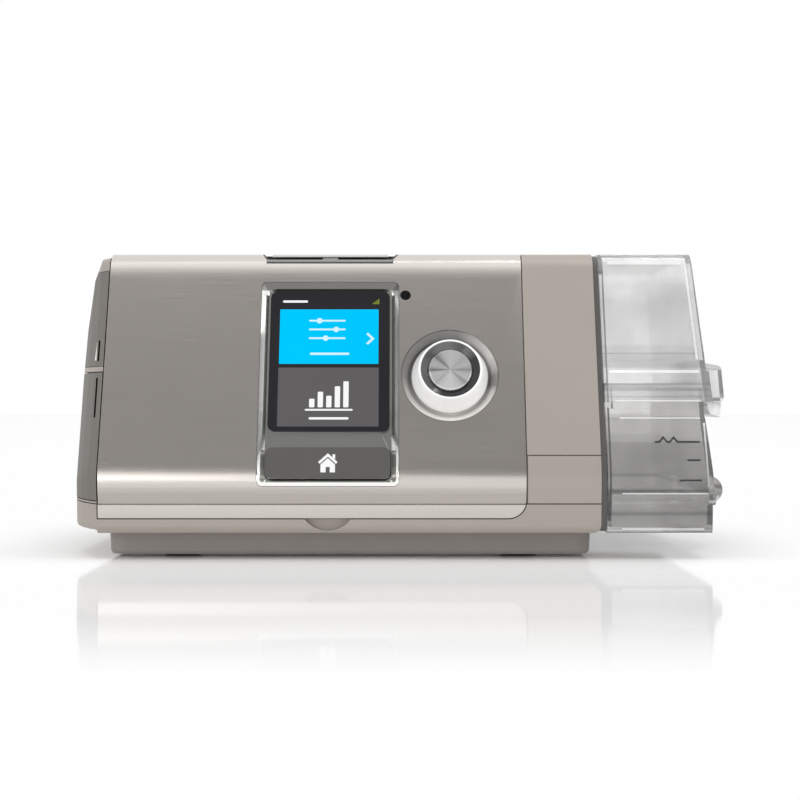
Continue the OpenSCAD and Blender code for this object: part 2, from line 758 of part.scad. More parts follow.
plinth_x0 = x_cap + 2;
plinth_x1 = x_dock - 2.2;
plinth_y0 = y_front + plinth_in;
plinth_y1 = y_back - 8;
plinth_w = plinth_x1 - plinth_x0;
plinth_l = plinth_y1 - plinth_y0;
foot_in = 0.8;
foot_x = [plinth_x0 + 27, plinth_x1 - 27];
foot_y = [plinth_y0 + 13, plinth_y1 - 13];
module at_plinth() translate([(plinth_x0 + plinth_x1) / 2, (plinth_y0 + plinth_y1) / 2, 0]) children();
module at_feet() for (x = foot_x) for (y = foot_y) translate([x, y, 0]) children();

module plinth() color(dark_c) difference() {
  union() {
    difference() {
      at_plinth() hull() {
        plate(plinth_w, plinth_l, plinth_r, base_z - 0.5, base_z);
        plate(plinth_w - 0.6, plinth_l - 0.6, plinth_r - 0.3, foot_h + 1, foot_h + 1.1);
        plate(plinth_w - 2, plinth_l - 2, plinth_r - 1, foot_h, foot_h + 0.1);
      }
      at_plinth() plate(plinth_w - 6, plinth_l - 6, plinth_r - 3, foot_h + wall, base_z + 1);
    }
    at_screws() translate([0, 0, foot_h + 0.5]) cylinder(r = boss_r, h = base_z - foot_h - 0.5);
  }
  at_screws() translate([0, 0, foot_h - 1]) cylinder(r = head_r + 0.2, h = head_z + head_h - foot_h + 1);
  at_screws() cylinder(r = screw_r + 0.2, h = base_z + 1);
  at_feet() translate([0, 0, foot_h - 1]) cylinder(r = foot_r + fit, h = foot_in + 1);
}

module rubber_feet() color(rubber_c) at_feet() difference() {
  cylinder(r = foot_r, h = foot_h + foot_in);
  translate([0, 0, -1]) cylinder(r = foot_r - 3, h = 1.4);
}

module label_strip() color(housing_c) {
  difference() {
    intersection() {
      along_x(x_fascia + seam_w + 0.2, x_dock) profile(0);
      block(x_fascia, x_dock + 1, y_front - 1, y_front + 20, seam_z + seam_w / 2, label_top);
    }
    along_x(x_fascia, x_dock + 1) profile(label_t);
  }
  // pegs that hold it on the housing
  label_pegs(0);
}

module cover_shell(z0, z1) intersection() {
  difference() {
    bulge(0);
    bulge(cover_t);
  }
  cover_field(z0, z1, 0);
}
module nail_slot(z0, z1) intersection() {
  difference() {
    bulge(-1);
    bulge(1.1);
  }
  block(x_cap - 3.4, x_cap - 2.4, y_front - 1, y_front + 50, z0, z1);
}

module adapter_cover() color(dark_c) difference() {
  union() {
    cover_shell(adapter_z0, cover_top);
    for (z = adapter_pegs) translate([side_x(z) + 1, adapter_y, z]) pin_x(peg_r, 5);
  }
  nail_slot(adapter_z0 + 2, adapter_z0 + 10);
}

module sd_door() color(dark_c) difference() {
  union() {
    difference() {
      cover_shell(door_z, door_top);
      block(x_left - 1, x_cap, hinge_y, y_back, door_z - 1, door_top + 1);
    }
    at_door_hinge(door_z) cylinder(r = knuckle_r, h = (door_top - door_z) / cos(hinge_tilt));
    at_door_hinge(door_z - 2.6) cylinder(r = pin_r, h = door_top - door_z + 4);
  }
  nail_slot(door_top - 17, door_top - 2);
}

module screen_bezel() color(bezel_c) difference() {
  union() {
    intersection() {
      on_face(bezel_x, bezel_z) plate(bezel_w, bezel_l, bezel_r, -5, 3);
      along_x(x_cap, x_fascia) profile(0, fascia_tuck);
    }
    for (x = [-1, 1]) for (y = [-22, 36]) on_face(bezel_x + x * (bezel_w / 2 - 3), bezel_z)
      translate([0, y, -board_in]) cylinder(r = 2, h = board_in - 4);
  }
  // mitred bevels down to the floor
  on_face(bezel_x, bezel_z) hull() {
    slab(bezel_w - 2 * bevel_w, bezel_l - 2 * bevel_w, -bezel_in, -bezel_in + eps);
    slab(bezel_w + bevel_w, bezel_l + bevel_w, bezel_in / 2, bezel_in / 2 + 1);
  }
  on_face(bezel_x, glass_z) slab(lcd_w + 0.6, lcd_l + 0.6, -6, 0);
  on_face(bezel_x, home_z) plate(home_w + 2 * press_gap, home_l + 2 * press_gap, key_r + press_gap, -6, 3);
}
module screen_lens() color(black_c) on_face(bezel_x, glass_z)
  plate(glass_w, glass_l, glass_r, -bezel_in, -bezel_in + glass_t);
module lcd_module() color([0.1, 0.55, 0.75]) on_face(bezel_x, glass_z) {
  slab(lcd_w, lcd_l, -5.2, -bezel_in - seat_gap);
  slab(lcd_w + 5, lcd_l + 4, -8.2, -5 - seat_gap);
}
home_top = -1.4;
home_stem = -board_in + 2.2 + home_travel + 0.1;
module home_button() color(bezel_c) on_face(bezel_x, home_z) {
  plate(home_w, home_l, key_r, -6, home_top);
  translate([0, 0, home_stem]) cylinder(r = 2, h = -6 - home_stem + 0.5);
}

module start_trim() color(bezel_c) difference() {
  union() {
    intersection() {
      along_y(y_front + 10, start_y1 + 1.5) notch_outline(0);
      along_x(x_cap, x_fascia) profile(0);
    }
    // collar that guides the bar's stem
    collar(0, notch_z - 4.6);
    // posts that carry the bar's board
    for (x = [-1, 1]) translate([start_x + x * 10, top_y + 3.4, bar_board_z + board_t])
      cylinder(r = 2.5, h = notch_z - 0.5 - bar_board_z - board_t);
  }
  // the open notch above the trim's floor
  along_y(y_front, start_y1 + 0.7) polygon([
    [start_x - start_w / 2 - 1, notch_z], [start_x + start_w / 2 + 1, notch_z],
    [start_x + start_w / 2 + 4.2, body_h + 1], [start_x - start_w / 2 - 4.2, body_h + 1]
  ]);
  block(start_x - 3.4, start_x + 3.4, start_y0 + 2.6, start_y1 - 1.6, bar_board_z, body_h);
}
module start_button() color(silver_c) {
  intersection() {
    block(start_x - start_w / 2, start_x + start_w / 2, start_y0, start_y1, bar_z, body_h + 1);
    along_x(x_cap, x_fascia) profile(0);
  }
  block(start_x - 3, start_x + 3, start_y0 + 3, start_y1 - 2, stem_z, bar_z + 0.4);
}
module sensor_window() color(black_c) on_face(sensor_x, sensor_z)
  translate([0, 0, -board_in]) cylinder(r = sensor_r, h = board_in - 0.1);

module dial_seat() color(fascia_c) on_face(dial_x, dial_z) rotate_extrude() polygon([
  [shaft_r + 0.5, dish_back], [dish_hole_r, dish_back], [dish_hole_r, -shelf_in], [dish_r, -shelf_in],
  [dish_r, 0], [dish_r - 0.4, 0], [knob_r + dish_gap, dish_floor], [shaft_r + 0.5, dish_floor]
]);
knob_foot = dish_floor + dial_travel + 0.4;
module dial_knob() color(silver_c) on_face(dial_x, dial_z) rotate_extrude() polygon([
  [shaft_r + run_gap, knob_foot], [shaft_r + 2, knob_foot], [shaft_r + 2, rim_h - 4.2],
  [rim_r - 1.4, rim_h - 4.2], [knob_r - 1.4, knob_foot], [knob_r, knob_foot], [rim_r + 0.25, rim_h - 0.7],
  [rim_r, rim_h - 0.2], [rim_r - 0.3, rim_h], [rim_r - 0.7, rim_h], [rim_r - 0.7, rim_h - 2.6],
  [shaft_r + run_gap, rim_h - 2.6]
]);
module dial_insert() color(black_c) on_face(dial_x, dial_z) rotate_extrude() polygon([
  [cap_r + 0.1, rim_h - 2.6], [rim_r - 0.75, rim_h - 2.6], [rim_r - 0.75, rim_h - 0.3], [cap_r + 0.1, rim_h - 1.7]
]);
module dial_cap() color(silver_c) on_face(dial_x, dial_z) rotate_extrude() polygon([
  [0, rim_h - 2.6], [cap_r, rim_h - 2.6], [cap_r, rim_h - 1.1], [cap_r - 0.4, rim_h - 0.7],
  [cap_r - 0.9, rim_h - 0.75], [0, rim_h - 0.95]
]);
shaft_end = -board_in + 1.7;
module encoder_shaft() color(silver_c) on_face(dial_x, dial_z) translate([0, 0, shaft_end])
  cylinder(r = shaft_r, h = rim_h - 2.7 - shaft_end);
module dial_plunger() color(dark_c) on_face(dial_x, dial_z) translate([0, 0, shaft_end])
  tube(sleeve_r, shaft_r + run_gap, -5 - shaft_end);
module dial_encoder() color(black_c) on_face(dial_x, dial_z) difference() {
  slab(encoder_w, encoder_w, -board_in, -6.4);
  translate([0, 0, shaft_end - dial_travel - 0.4]) cylinder(r = sleeve_r + 0.1, h = 12);
}

module display_board() color(board_c) {
  x0 = bezel_x - bezel_w / 2;
  x1 = dial_x + encoder_w / 2 + 0.6;
  difference() {
    on_face((x0 + x1) / 2, bezel_z) slab(x1 - x0, bezel_l - 4, -board_in - board_t, -board_in);
    on_face(bezel_x, bezel_z) translate([0, 0, -20]) cylinder(r = 2.5, h = 10);
  }
}
module button_board() color(board_c)
  block(start_x - bar_board_w / 2, start_x + bar_board_w / 2, top_y - 5, top_y + 6, bar_board_z, bar_board_z + board_t);
module tact_switches() color(silver_c) {
  on_face(bezel_x, home_z) {
    slab(6, 6, -board_in, -board_in + 1.8);
    translate([0, 0, -board_in + 1.8]) cylinder(r = 1.6, h = 0.4);
  }
  translate([start_x, (start_y0 + start_y1) / 2, bar_board_z + board_t]) {
    slab(6, 6, 0, switch_h - 0.5);
    translate([0, 0, switch_h - 0.5]) cylinder(r = 1.6, h = 0.5);
  }
}

module main_board() color(board_c) {
  block(board_x0, board_x1, board_y0, board_y1, board_z, board_z + board_t);
  for (k = [0:2]) translate([board_x0 + 12 + 14 * k, board_y1 - 8, board_z + board_t]) cylinder(r = 4.5, h = 11);
  block(board_x0 + 52, board_x0 + 66, board_y0 + 10, board_y0 + 24, board_z + board_t, board_z + board_t + 1.4);
  block(board_x1 - 16, board_x1 - 4, board_y0 + 6, board_y0 + 12, board_z + board_t, board_z + board_t + 6);
}

module chassis() color(dark_c) difference() {
  union() {
    block(x_cap + 5, x_dock - wall - 1, y_front + 12, y_back - 7, chassis_z, chassis_top);
    for (x = [board_x0 + 4, board_x1 - 4]) for (y = [board_y0 + 4, board_y1 - 4])
      translate([x, y, chassis_z]) cylinder(r = 2.5, h = board_z - chassis_z);
    // cradle of the blower
    translate([blower_x, blower_y, chassis_z]) cylinder(r = cradle_r + 2.2, h = motor_z + 10 - chassis_z);
    // posts of the card board
    for (x = [23, 31]) for (y = [-1, 1]) translate([side_x(card_z) + x, card_y + y * 11, chassis_z])
      cylinder(r = 2.5, h = sd_board_z - chassis_z);
    // ledges under the docking bay
    for (y = [y_front + 16, y_back - 14]) block(x_bay + 2, x_dock - wall - 2, y, y + 3, chassis_z, bay_z);
  }
  translate([blower_x, blower_y, motor_z - 2 - seat_gap]) cylinder(r = cradle_r, h = 30);
  translate([blower_x, blower_y, chassis_top]) cylinder(r = cradle_r - 5, h = motor_z);
  at_screws() translate([0, 0, base_z]) cylinder(r = boss_r + 0.3, h = 10);
}

module housing_screws() color(silver_c) at_screws() {
  translate([0, 0, head_z]) cylinder(r = head_r, h = head_h);
  translate([0, 0, head_z]) cylinder(r = screw_r, h = seam_z + 13 - head_z);
}

// Volute outline: a spiral that grows by volute_grow in one turn, and its straight exit
module volute_outline(g) {
  polygon([for (a = [-90:6:270]) (volute_r0 + volute_grow * (a + 90) / 360 + g) * [cos(a), sin(a)]]);
  translate([0, -volute_r0 - volute_grow - g]) square([volute_exit, volute_grow + 2 * g]);
}
module volute_base() color(dark_c) translate([blower_x, blower_y, motor_top]) difference() {
  linear_extrude(volute_h + volute_t) volute_outline(volute_t);
  translate([0, 0, volute_t]) linear_extrude(volute_h + 1) volute_outline(0);
  translate([volute_exit - 3, -volute_r0 - volute_grow, volute_t]) cube([5, volute_grow, volute_h + 1]);
  translate([0, 0, -1]) cylinder(r = 5, h = 4);
}
module volute_cover() color(dark_c) translate([blower_x, blower_y, air_z]) difference() {
  union() {
    linear_extrude(volute_h + volute_t) volute_outline(volute_t);
    translate([0, 0, volute_h]) cylinder(r = 14, h = 3.6);
  }
  translate([0, 0, -1]) linear_extrude(volute_h + 1) volute_outline(0);
  translate([volute_exit - 3, -volute_r0 - volute_grow, -1]) cube([5, volute_grow, volute_h + 1]);
  translate([0, 0, volute_h - 1]) cylinder(r = 12, h = 6);
}
module blade() intersection() {
  translate([-1.56, -15.24]) difference() {
    circle(r = 18.4);
    circle(r = 17.5);
  }
  difference() {
    circle(r = impeller_r - 0.4);
    circle(r = 8);
  }
  polygon([[0, 0], [40 * cos(-62), 40 * sin(-62)], [40 * cos(12), 40 * sin(12)]]);
}
module impeller() color(clear_c) translate([blower_x, blower_y, air_z - volute_h + 1]) difference() {
  union() {
    cylinder(r = impeller_r, h = 1.2);
    cylinder(r = 6, h = 10);
    translate([0, 0, 1]) linear_extrude(11) for (k = [0:blades - 1]) rotate(k * 360 / blades) blade();
    translate([0, 0, 12]) tube(impeller_r, 12.4, 1);
  }
  translate([0, 0, -1]) cylinder(r = spindle_r + run_gap, h = 20);
}
module motor_shaft() color(silver_c) translate([blower_x, blower_y, motor_z + 3])
  cylinder(r = spindle_r, h = air_z - volute_h + 10 - motor_z - 3);
module blower_motor() color(silver_c) translate([blower_x, blower_y, motor_z]) difference() {
  union() {
    cylinder(r = motor_r, h = motor_h);
    translate([0, 0, motor_h - 1.4]) cylinder(r = motor_r + 2, h = 1.4);
  }
  translate([0, 0, 2]) cylinder(r = spindle_r + run_gap, h = motor_h);
}
module blower_mount() color(rubber_c) translate([blower_x, blower_y, motor_z - 2]) difference() {
  cylinder(r = motor_r + mount_t + seat_gap, h = 15);
  translate([0, 0, 2]) cylinder(r = motor_r + seat_gap, h = 20);
  translate([0, 0, -1]) cylinder(r = 9, h = 20);
}

module inlet_muffler() color(rubber_c) difference() {
  along_x(filter_x - frame_w / 2 - 1.8, blower_x + impeller_r) polygon([
    [blower_y - impeller_r, foam_low], [foam_y, foam_low], [foam_y, filter_z - frame_w / 2],
    [frame_y - 0.2, filter_z - frame_w / 2], [frame_y - 0.2, foam_top], [blower_y - impeller_r, foam_top]
  ]);
  translate([blower_x, blower_y, air_z]) cylinder(r = 14.3, h = 22);
}
module air_filter() color([0.92, 0.92, 0.9])
  block(filter_x - filter_w / 2, filter_x + filter_w / 2, filter_y0, filter_y1,
    filter_z - filter_w / 2, filter_z + filter_w / 2);
module filter_door() color(dark_c) {
  r = filter_door_t / 2;
  x0 = filter_x - filter_door_w / 2;
  z0 = filter_z - filter_door_w / 2;
  slot_pitch = (filter_door_w - 9.8) / 7;
  difference() {
    block(x0 + r, x0 + filter_door_w, y_back - filter_door_t, y_back, z0, z0 + filter_door_w);
    for (k = [-3:3]) block(x0 + 6, x0 + filter_door_w - 6, y_back - 5, y_back + 1,
      filter_z + k * slot_pitch - 1.1, filter_z + k * slot_pitch + 1.1);
    block(x0 + filter_door_w - 2, x0 + filter_door_w + 1, y_back - 0.9, y_back + 1, filter_z - 5, filter_z + 5);
  }
  translate([x0 + r, y_back - r, z0]) cylinder(r = r, h = filter_door_w);
  translate([x0 + r, y_back - r, z0 - 2.4]) cylinder(r = pin_r, h = filter_door_w + 4.8);
}

module delivery_duct() color(dark_c) difference() {
  union() {
    translate([blower_x + volute_exit + 12, port_y1, air_z]) pin_x(duct_ro, x_bay - blower_x - volute_exit - 12);
    hull() {
      translate([blower_x + volute_exit + 12, port_y1, air_z]) pin_x(duct_ro, 0.5, $fn = hull_fn);
      block(blower_x + volute_exit, blower_x + volute_exit + 1, port_y1 - 9.8, port_y1 + 9.8, air_z - 9.8, air_z + 9.8);
    }
  }
  translate([blower_x + volute_exit - 1, port_y1, air_z]) pin_x(volute_h, 20);
  translate([blower_x + volute_exit + 11, port_y1, air_z]) pin_x(duct_r, x_bay);
}
module flow_sensor() color(black_c) difference() {
  block(x_bay - 30, x_bay - 12, port_y1 - 7, port_y1 + 7, air_z + 6, air_z + duct_ro + 5);
  translate([x_bay - 40, port_y1, air_z]) pin_x(duct_ro + seat_gap, 60);
}
module docking_seal() color(rubber_c) translate([x_bay, port_y1, air_z]) difference() {
  union() {
    translate([liner_t, 0, 0]) along_x(0, slide_gap) {
      circle(r = duct_ro + 1.8);
      translate([port_pitch, 0]) circle(r = duct_ro + 1.8);
      translate([0, -5]) square([port_pitch, 10]);
    }
    for (y = [0, port_pitch]) translate([0, y, 0]) pin_x(duct_ro, liner_t + 0.2);
  }
  for (y = [0, port_pitch]) translate([-1, y, 0]) pin_x(duct_r, 10);
}
module outlet_duct() color(dark_c) {
  translate([x_bay - stub, port_y2, air_z]) rotate([0, 90, 0]) tube(duct_ro, duct_r, stub);
  translate([x_bay - stub, port_y2 + bend_r, air_z]) rotate([0, 0, 180]) rotate_extrude(angle = 90)
    translate([bend_r, 0]) difference() {
      circle(r = duct_ro);
      circle(r = duct_r);
    }
  translate([outlet_x, port_y2 + bend_r, air_z]) rotate([-90, 0, 0])
    tube(duct_ro, duct_r, outlet_y - outlet_tail - port_y2 - bend_r);
}
module air_outlet() color(dark_c) translate([outlet_x, outlet_y, air_z]) difference() {
  union() {
    translate([0, -2, 0]) pin_y(recess_r - fit, 2);
    translate([0, -outlet_tail, 0]) pin_y(duct_ro, outlet_tail);
    pin_y(outlet_r, outlet_in + outlet_out);
  }
  translate([0, -outlet_tail - 1, 0]) pin_y(outlet_bore_r, outlet_in + outlet_out + outlet_tail + 2);
}

module dc_inlet() color(black_c) difference() {
  block(inlet_x - inlet_w / 2, inlet_x + inlet_w / 2, clip_room_y - inlet_d, clip_room_y,
    inlet_z - inlet_h / 2, inlet_z + inlet_h / 2);
  translate([inlet_x, clip_room_y - 10, inlet_z]) pin_y(inlet_r, 12);
  translate([inlet_x, clip_room_y - 12, inlet_z]) pin_y(0.8, 6);
}
module dc_pin() color(silver_c) translate([inlet_x, clip_room_y - 12, inlet_z]) pin_y(0.8, 11);
module retention_clip() color(dark_c) {
  difference() {
    block(inlet_x - clip_w / 2, inlet_x + clip_w / 2, y_back - clip_t, y_back, clip_low, clip_top);
    block(inlet_x - clip_hole_r, inlet_x + clip_hole_r, y_back - 5, y_back + 1, clip_low - 1, inlet_z + 5);
    translate([inlet_x, y_back - 5, inlet_z + 5]) pin_y(clip_hole_r, 7);
  }
  translate([inlet_x - clip_w / 2, y_back - clip_r, clip_top]) pin_x(clip_r, clip_w);
  translate([inlet_x - clip_w / 2 - 2.1, y_back - clip_r, clip_top]) pin_x(pin_r, clip_w + 4.2);
}

module adapter_socket() color(black_c) difference() {
  block(side_x(adapter_z) + 3.8, side_x(adapter_z) + 14, adapter_y - adapter_w / 2, adapter_y + adapter_w / 2,
    adapter_z - adapter_h / 2, adapter_z + adapter_h / 2);
  block(side_x(adapter_z) + 2, side_x(adapter_z) + 9, adapter_y - 9, adapter_y + 9, adapter_z - 3.4, adapter_z + 3.4);
}
card_x = side_x(card_z) + 3.4;
module sd_board() color(board_c) block(card_x + 2.5, card_x + card_l + 5, card_y - 14, card_y + 14,
  sd_board_z, sd_board_z + board_t);
module sd_socket() color(silver_c) difference() {
  block(card_x + 2.5, card_x + card_l + 2, card_y - 14, card_y + 14, sd_board_z + board_t, card_z + 2);
  block(card_x, card_x + card_l + 0.5, card_y - card_w / 2 - fit, card_y + card_w / 2 + fit,
    card_z - card_t / 2 - fit, card_z + card_t / 2 + fit);
}
module sd_card() color([0.15, 0.2, 0.4]) block(card_x, card_x + card_l, card_y - card_w / 2, card_y + card_w / 2,
  card_z - card_t / 2, card_z + card_t / 2);

heater_x0 = x_bay + 6;
heater_x1 = x_dock - 6;
heater_z = bay_floor - 2.8;
heater_y0 = y_front + 31;
heater_y1 = y_back - 20;
module bay_liner() color(bezel_c) difference() {
  union() {
    along_x(x_bay, x_dock) profile(liner_in, fascia_tuck, bay_z - base_z);
    along_x(x_dock, x_dock + rim_t) profile(0.7);
  }
  along_x(x_bay + liner_t, x_dock + rim_t + 1) profile(bay_in, fascia_tuck, bay_floor - base_z);
  for (y = [port_y1, port_y2]) translate([x_bay - 1, y, air_z]) pin_x(duct_ro + seat_gap, 5);
  heater(-fit, bay_z - 1, bay_floor + 1);
}
module heater(g, z0, z1) block(heater_x0 + g, heater_x1 - g, heater_y0 + g, heater_y1 - g, z0, z1);
module heater_plate() color(silver_c) heater(0, heater_z, plate_z - seat_gap);
module heater_pad() color(rubber_c) heater(2, chassis_top, heater_z);

// Limits of the tub's slanted right end, between two heights
module end_outline(x0, z0, x1, z1) along_y(y_front - 3, y_back + 3)
  polygon([[tx0 - 1, z0], [x0, z0], [x1, z1], [tx0 - 1, z1]]);

// The base up to a height, short of its right end by d, with its tray set in
module base_span(d, top) {
  end_outline(base_end(bead_z) - d, bead_z - bead_r, base_end(top) - d, top);
  end_outline(base_end(bead_z) - tray_end - d, base_z - 1, base_end(bead_z) - tray_end - d, bead_z);
}

module tub_base() color(clear_c, 0.5) difference() {
  union() {
    // part that shows beside the column
    intersection() {
      along_x(tx1, x_right) profile(wall_in, tuck_a, 0.1);
      base_span(0, split_z - seat_gap);
    }
    // part that docks in the bay
    intersection() {
      along_x(tx0, tx1 + 1) profile(tub_in, fascia_tuck, tub_floor - base_z);
      block(tx0 - 1, tx1 + 2, y_front, y_back, base_z, split_z - seat_gap);
    }
    // inner rim that carries the seal
    intersection() {
      union() {
        along_x(rim_x, x_right) profile(rim_in);
        along_x(tx0 + rim_in - wall_in - 0.2, rim_x + 1) profile(dock_rim_in, fascia_tuck);
      }
      end_outline(lid_end(split_z) - tub_t - 0.2, split_z - 2, lid_end(rim_top) - tub_t - 0.2, rim_top);
    }
    // bead along the front and grip at the right end
    translate([tx1, y_front + bead_r + 0.5, bead_z]) pin_x(bead_r, base_end(bead_z) - tx1);
    translate([x_right - 0.7 - grip_r, grip_y0, bead_z + 1.2]) pin_y(grip_r, grip_w);
    block(base_end(bead_z) - 1, x_right - 0.7 - grip_r, grip_y0, grip_y0 + grip_w, bead_z - 3, bead_z + 5);
  }
  // neck and tray, set in from the wall between them
  for (band = [[neck_z, split_z + 0.2, neck_in], [base_z - 1, bead_z - bead_r - 0.1, tray_in]]) difference() {
    block(tx1 - 1, x_right, y_front - 2, y_front + 12, band[0], band[1]);
    along_x(tx1 - 2, x_right + 1) profile(band[2], tuck_a, 0.1);
  }
  // the room for the water
  intersection() {
    along_x(tx1 + tub_t, x_right) profile(room_in, tuck_a, 2.1);
    base_span(tub_t, split_z - 2.5);
  }
  intersection() {
    along_x(rim_x + rim_wall, x_right) profile(rim_in + rim_wall, tuck_a, 2.1);
    end_outline(lid_end(split_z) - tub_t - 1.7, base_z, lid_end(rim_top) - tub_t - 1.7, rim_top + 1);
  }
  along_x(tx0 + tub_t + 2, rim_x + rim_wall + 1) intersection() {
    profile(dock_rim_in + rim_wall, fascia_tuck, tub_floor + tub_t - base_z);
    translate([y_front, 0]) square([body_d, rim_top + 1]);
  }
  along_x(tx0 + tub_t, tx1 + 1) intersection() {
    profile(dock_room_in, fascia_tuck, tub_floor + tub_t - base_z);
    translate([y_front, 0]) square([body_d, split_z - 2.5]);
  }
  // window for the metal floor plate
  heater(2, base_z, tub_floor + tub_t + 1);
}

module tub_lid() color(clear_c, 0.5) difference() {
  union() {
    intersection() {
      along_x(tx1, x_right) profile(wall_in, tuck_a, undef, 0);
      end_outline(lid_end(split_z), split_z, lid_end(body_h), body_h + 1);
    }
    intersection() {
      along_x(tx1, x_right) profile(0);
      end_outline(lid_end(split_z) + 0.8, split_z, lid_end(flange_z) + 0.8, flange_z);
    }
    intersection() {
      along_x(tx0, tx1 + 1) profile(tub_in, fascia_tuck);
      block(tx0 - 1, tx1 + 2, y_front, y_back, split_z, body_h);
    }
  }
  intersection() {
    along_x(tx1 + tub_t, x_right) profile(lid_room_in, tuck_a, undef, tub_t);
    end_outline(lid_end(split_z) - tub_t, split_z - 1, lid_end(body_h) - tub_t, body_h);
  }
  along_x(tx0 + tub_t, tx1 + tub_t + 1) profile(dock_room_in, fascia_tuck);
  // grooves along the front of the flange
  for (z = [2.1, 4.8, 7.5]) difference() {
    block(tx1 - 1, x_right, y_front - 2, y_front + 20, split_z + z - 0.4, split_z + z + 0.4);
    along_x(tx1 - 2, x_right + 1) profile(0.5);
  }
  // air ports
  for (y = [port_y1, port_y2]) translate([tx0 - 1, y, air_z]) pin_x(duct_r, 4);
}

latch_top = flange_z + 4.6;
module tub_latch() color(clear_c, 0.5) along_y(grip_y0, grip_y0 + grip_w) {
  difference() {
    polygon([
      [lid_end(split_z) + 0.9, split_z], [x_right - 1, split_z], [x_right, split_z + 1.6],
      [x_right - 1.1, flange_z + 1.8], [x_right - 2.2, flange_z + 2.8], [lid_end(latch_top) + 0.1, latch_top],
      [lid_end(flange_z) + 0.1, flange_z + 0.1], [lid_end(flange_z) + 0.9, flange_z + 0.1]
    ]);
    polygon([
      [lid_end(split_z) + 2.4, split_z - 1], [x_right - 2, split_z - 1], [x_right - 1.7, split_z + 2],
      [x_right - 2.6, flange_z + 1], [lid_end(flange_z) + 2.4, flange_z + 2]
    ]);
  }
  // hook that catches under the base's rim
  polygon([
    [x_right - 7.3, split_z + 0.4], [x_right - 5.6, split_z - 4.8], [x_right - 1.6, split_z - 6],
    [x_right - 1.2, split_z + 0.4]
  ]);
}

module tub_seal() color(rubber_c) difference() {
  intersection() {
    union() {
      along_x(rim_x, x_right) profile(rim_in);
      along_x(tx0 + rim_in - wall_in - 0.2, rim_x + 1) profile(dock_rim_in, fascia_tuck);
    }
    end_outline(lid_end(rim_top) - tub_t - 0.2, rim_top, lid_end(rim_top) - tub_t - 0.2, rim_top + seal_h);
  }
  intersection() {
    union() {
      along_x(rim_x + rim_wall, x_right) profile(rim_in + rim_wall, tuck_a, 2.1);
      along_x(tx0 + tub_t + 2, rim_x + rim_wall + 1) profile(dock_rim_in + rim_wall, fascia_tuck);
    }
    end_outline(lid_end(rim_top) - tub_t - 1.7, base_z, lid_end(rim_top) - tub_t - 1.7, rim_top + seal_h + 1);
  }
}
module tub_plate() color(silver_c) heater(0, plate_z, plate_z + plate_t);

upper_housing();
lower_housing();
front_fascia();
plinth();
rubber_feet();
label_strip();
adapter_cover();
sd_door();
screen_bezel();
screen_lens();
lcd_module();
home_button();
start_trim();
start_button();
sensor_window();
dial_seat();
dial_knob();
dial_insert();
dial_cap();
encoder_shaft();
dial_plunger();
dial_encoder();
display_board();
button_board();
tact_switches();
main_board();
chassis();
housing_screws();
outlet_surround();
volute_base();
volute_cover();
impeller();
motor_shaft();
blower_motor();
blower_mount();
inlet_muffler();
air_filter();
filter_door();
delivery_duct();
flow_sensor();
docking_seal();
outlet_duct();
air_outlet();
dc_inlet();
dc_pin();
retention_clip();
adapter_socket();
sd_board();
sd_socket();
sd_card();
bay_liner();
heater_plate();
heater_pad();
tub_base();
tub_lid();
tub_latch();
tub_seal();
tub_plate();
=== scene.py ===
"""Looks of a bilevel PAP machine with a docked water tub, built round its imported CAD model.

Lengths are metres in the frame of the model: X to the right, Y to the back and Z up.
Sizes given in millimetres say so in their names or docstrings.
"""
import logging
import math
from dataclasses import dataclass
from enum import Enum
from functools import cached_property
from typing import Any, Callable, Iterable, Optional, Sequence, Union

import bmesh
import bpy
from mathutils import Euler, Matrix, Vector


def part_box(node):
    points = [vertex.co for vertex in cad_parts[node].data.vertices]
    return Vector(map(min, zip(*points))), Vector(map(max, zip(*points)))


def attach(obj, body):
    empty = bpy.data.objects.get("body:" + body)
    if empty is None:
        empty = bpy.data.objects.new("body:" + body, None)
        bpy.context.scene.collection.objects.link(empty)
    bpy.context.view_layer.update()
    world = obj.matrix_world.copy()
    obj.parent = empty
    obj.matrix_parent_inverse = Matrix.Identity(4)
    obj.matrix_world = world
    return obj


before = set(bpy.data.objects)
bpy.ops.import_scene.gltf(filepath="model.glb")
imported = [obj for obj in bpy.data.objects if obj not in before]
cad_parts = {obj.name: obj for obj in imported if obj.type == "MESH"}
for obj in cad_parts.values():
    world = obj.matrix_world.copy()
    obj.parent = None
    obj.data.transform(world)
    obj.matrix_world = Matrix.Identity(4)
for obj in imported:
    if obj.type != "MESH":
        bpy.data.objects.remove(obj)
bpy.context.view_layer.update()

log = logging.getLogger("pap_machine")

MM = 0.001
WHITE = (1.0, 1.0, 1.0)
NO_LIGHT = (0.0, 0.0, 0.0)
NOISE_ROUGHNESS = 0.55
# A point on the dial's axis, and the lean of the front with its directions.
DIAL_AXIS = (0.0185, -0.06205, 0.0686)
LEAN = math.radians(20.0)
ACROSS = Vector((1, 0, 0))
RISE = Vector((0, math.sin(LEAN), math.cos(LEAN)))
FACE = Vector((0, -math.cos(LEAN), math.sin(LEAN)))

Colour = tuple[float, float, float]
Point = tuple[float, float, float]
Pair = tuple[float, float]
Outline = Sequence[Pair]
Levels = tuple[Pair, ...]
Term = Union["Wire", float, Sequence[float]]
Sockets = dict[Union[int, str], Term]
Place = Callable[[float, float, float], Vector]


def srgb(red: int, green: int, blue: int) -> Colour:
    """Turns a display colour into the linear one that a shader takes.

    Args:
        red: Red from 0 to 255.
        green: Green from 0 to 255.
        blue: Blue from 0 to 255.

    Returns:
        The three linear values.
    """

    def linear(value: int) -> float:
        """Undoes the display curve for one channel."""
        part = value / 255
        return part / 12.92 if part <= 0.04045 else ((part + 0.055) / 1.055) ** 2.4

    return linear(red), linear(green), linear(blue)


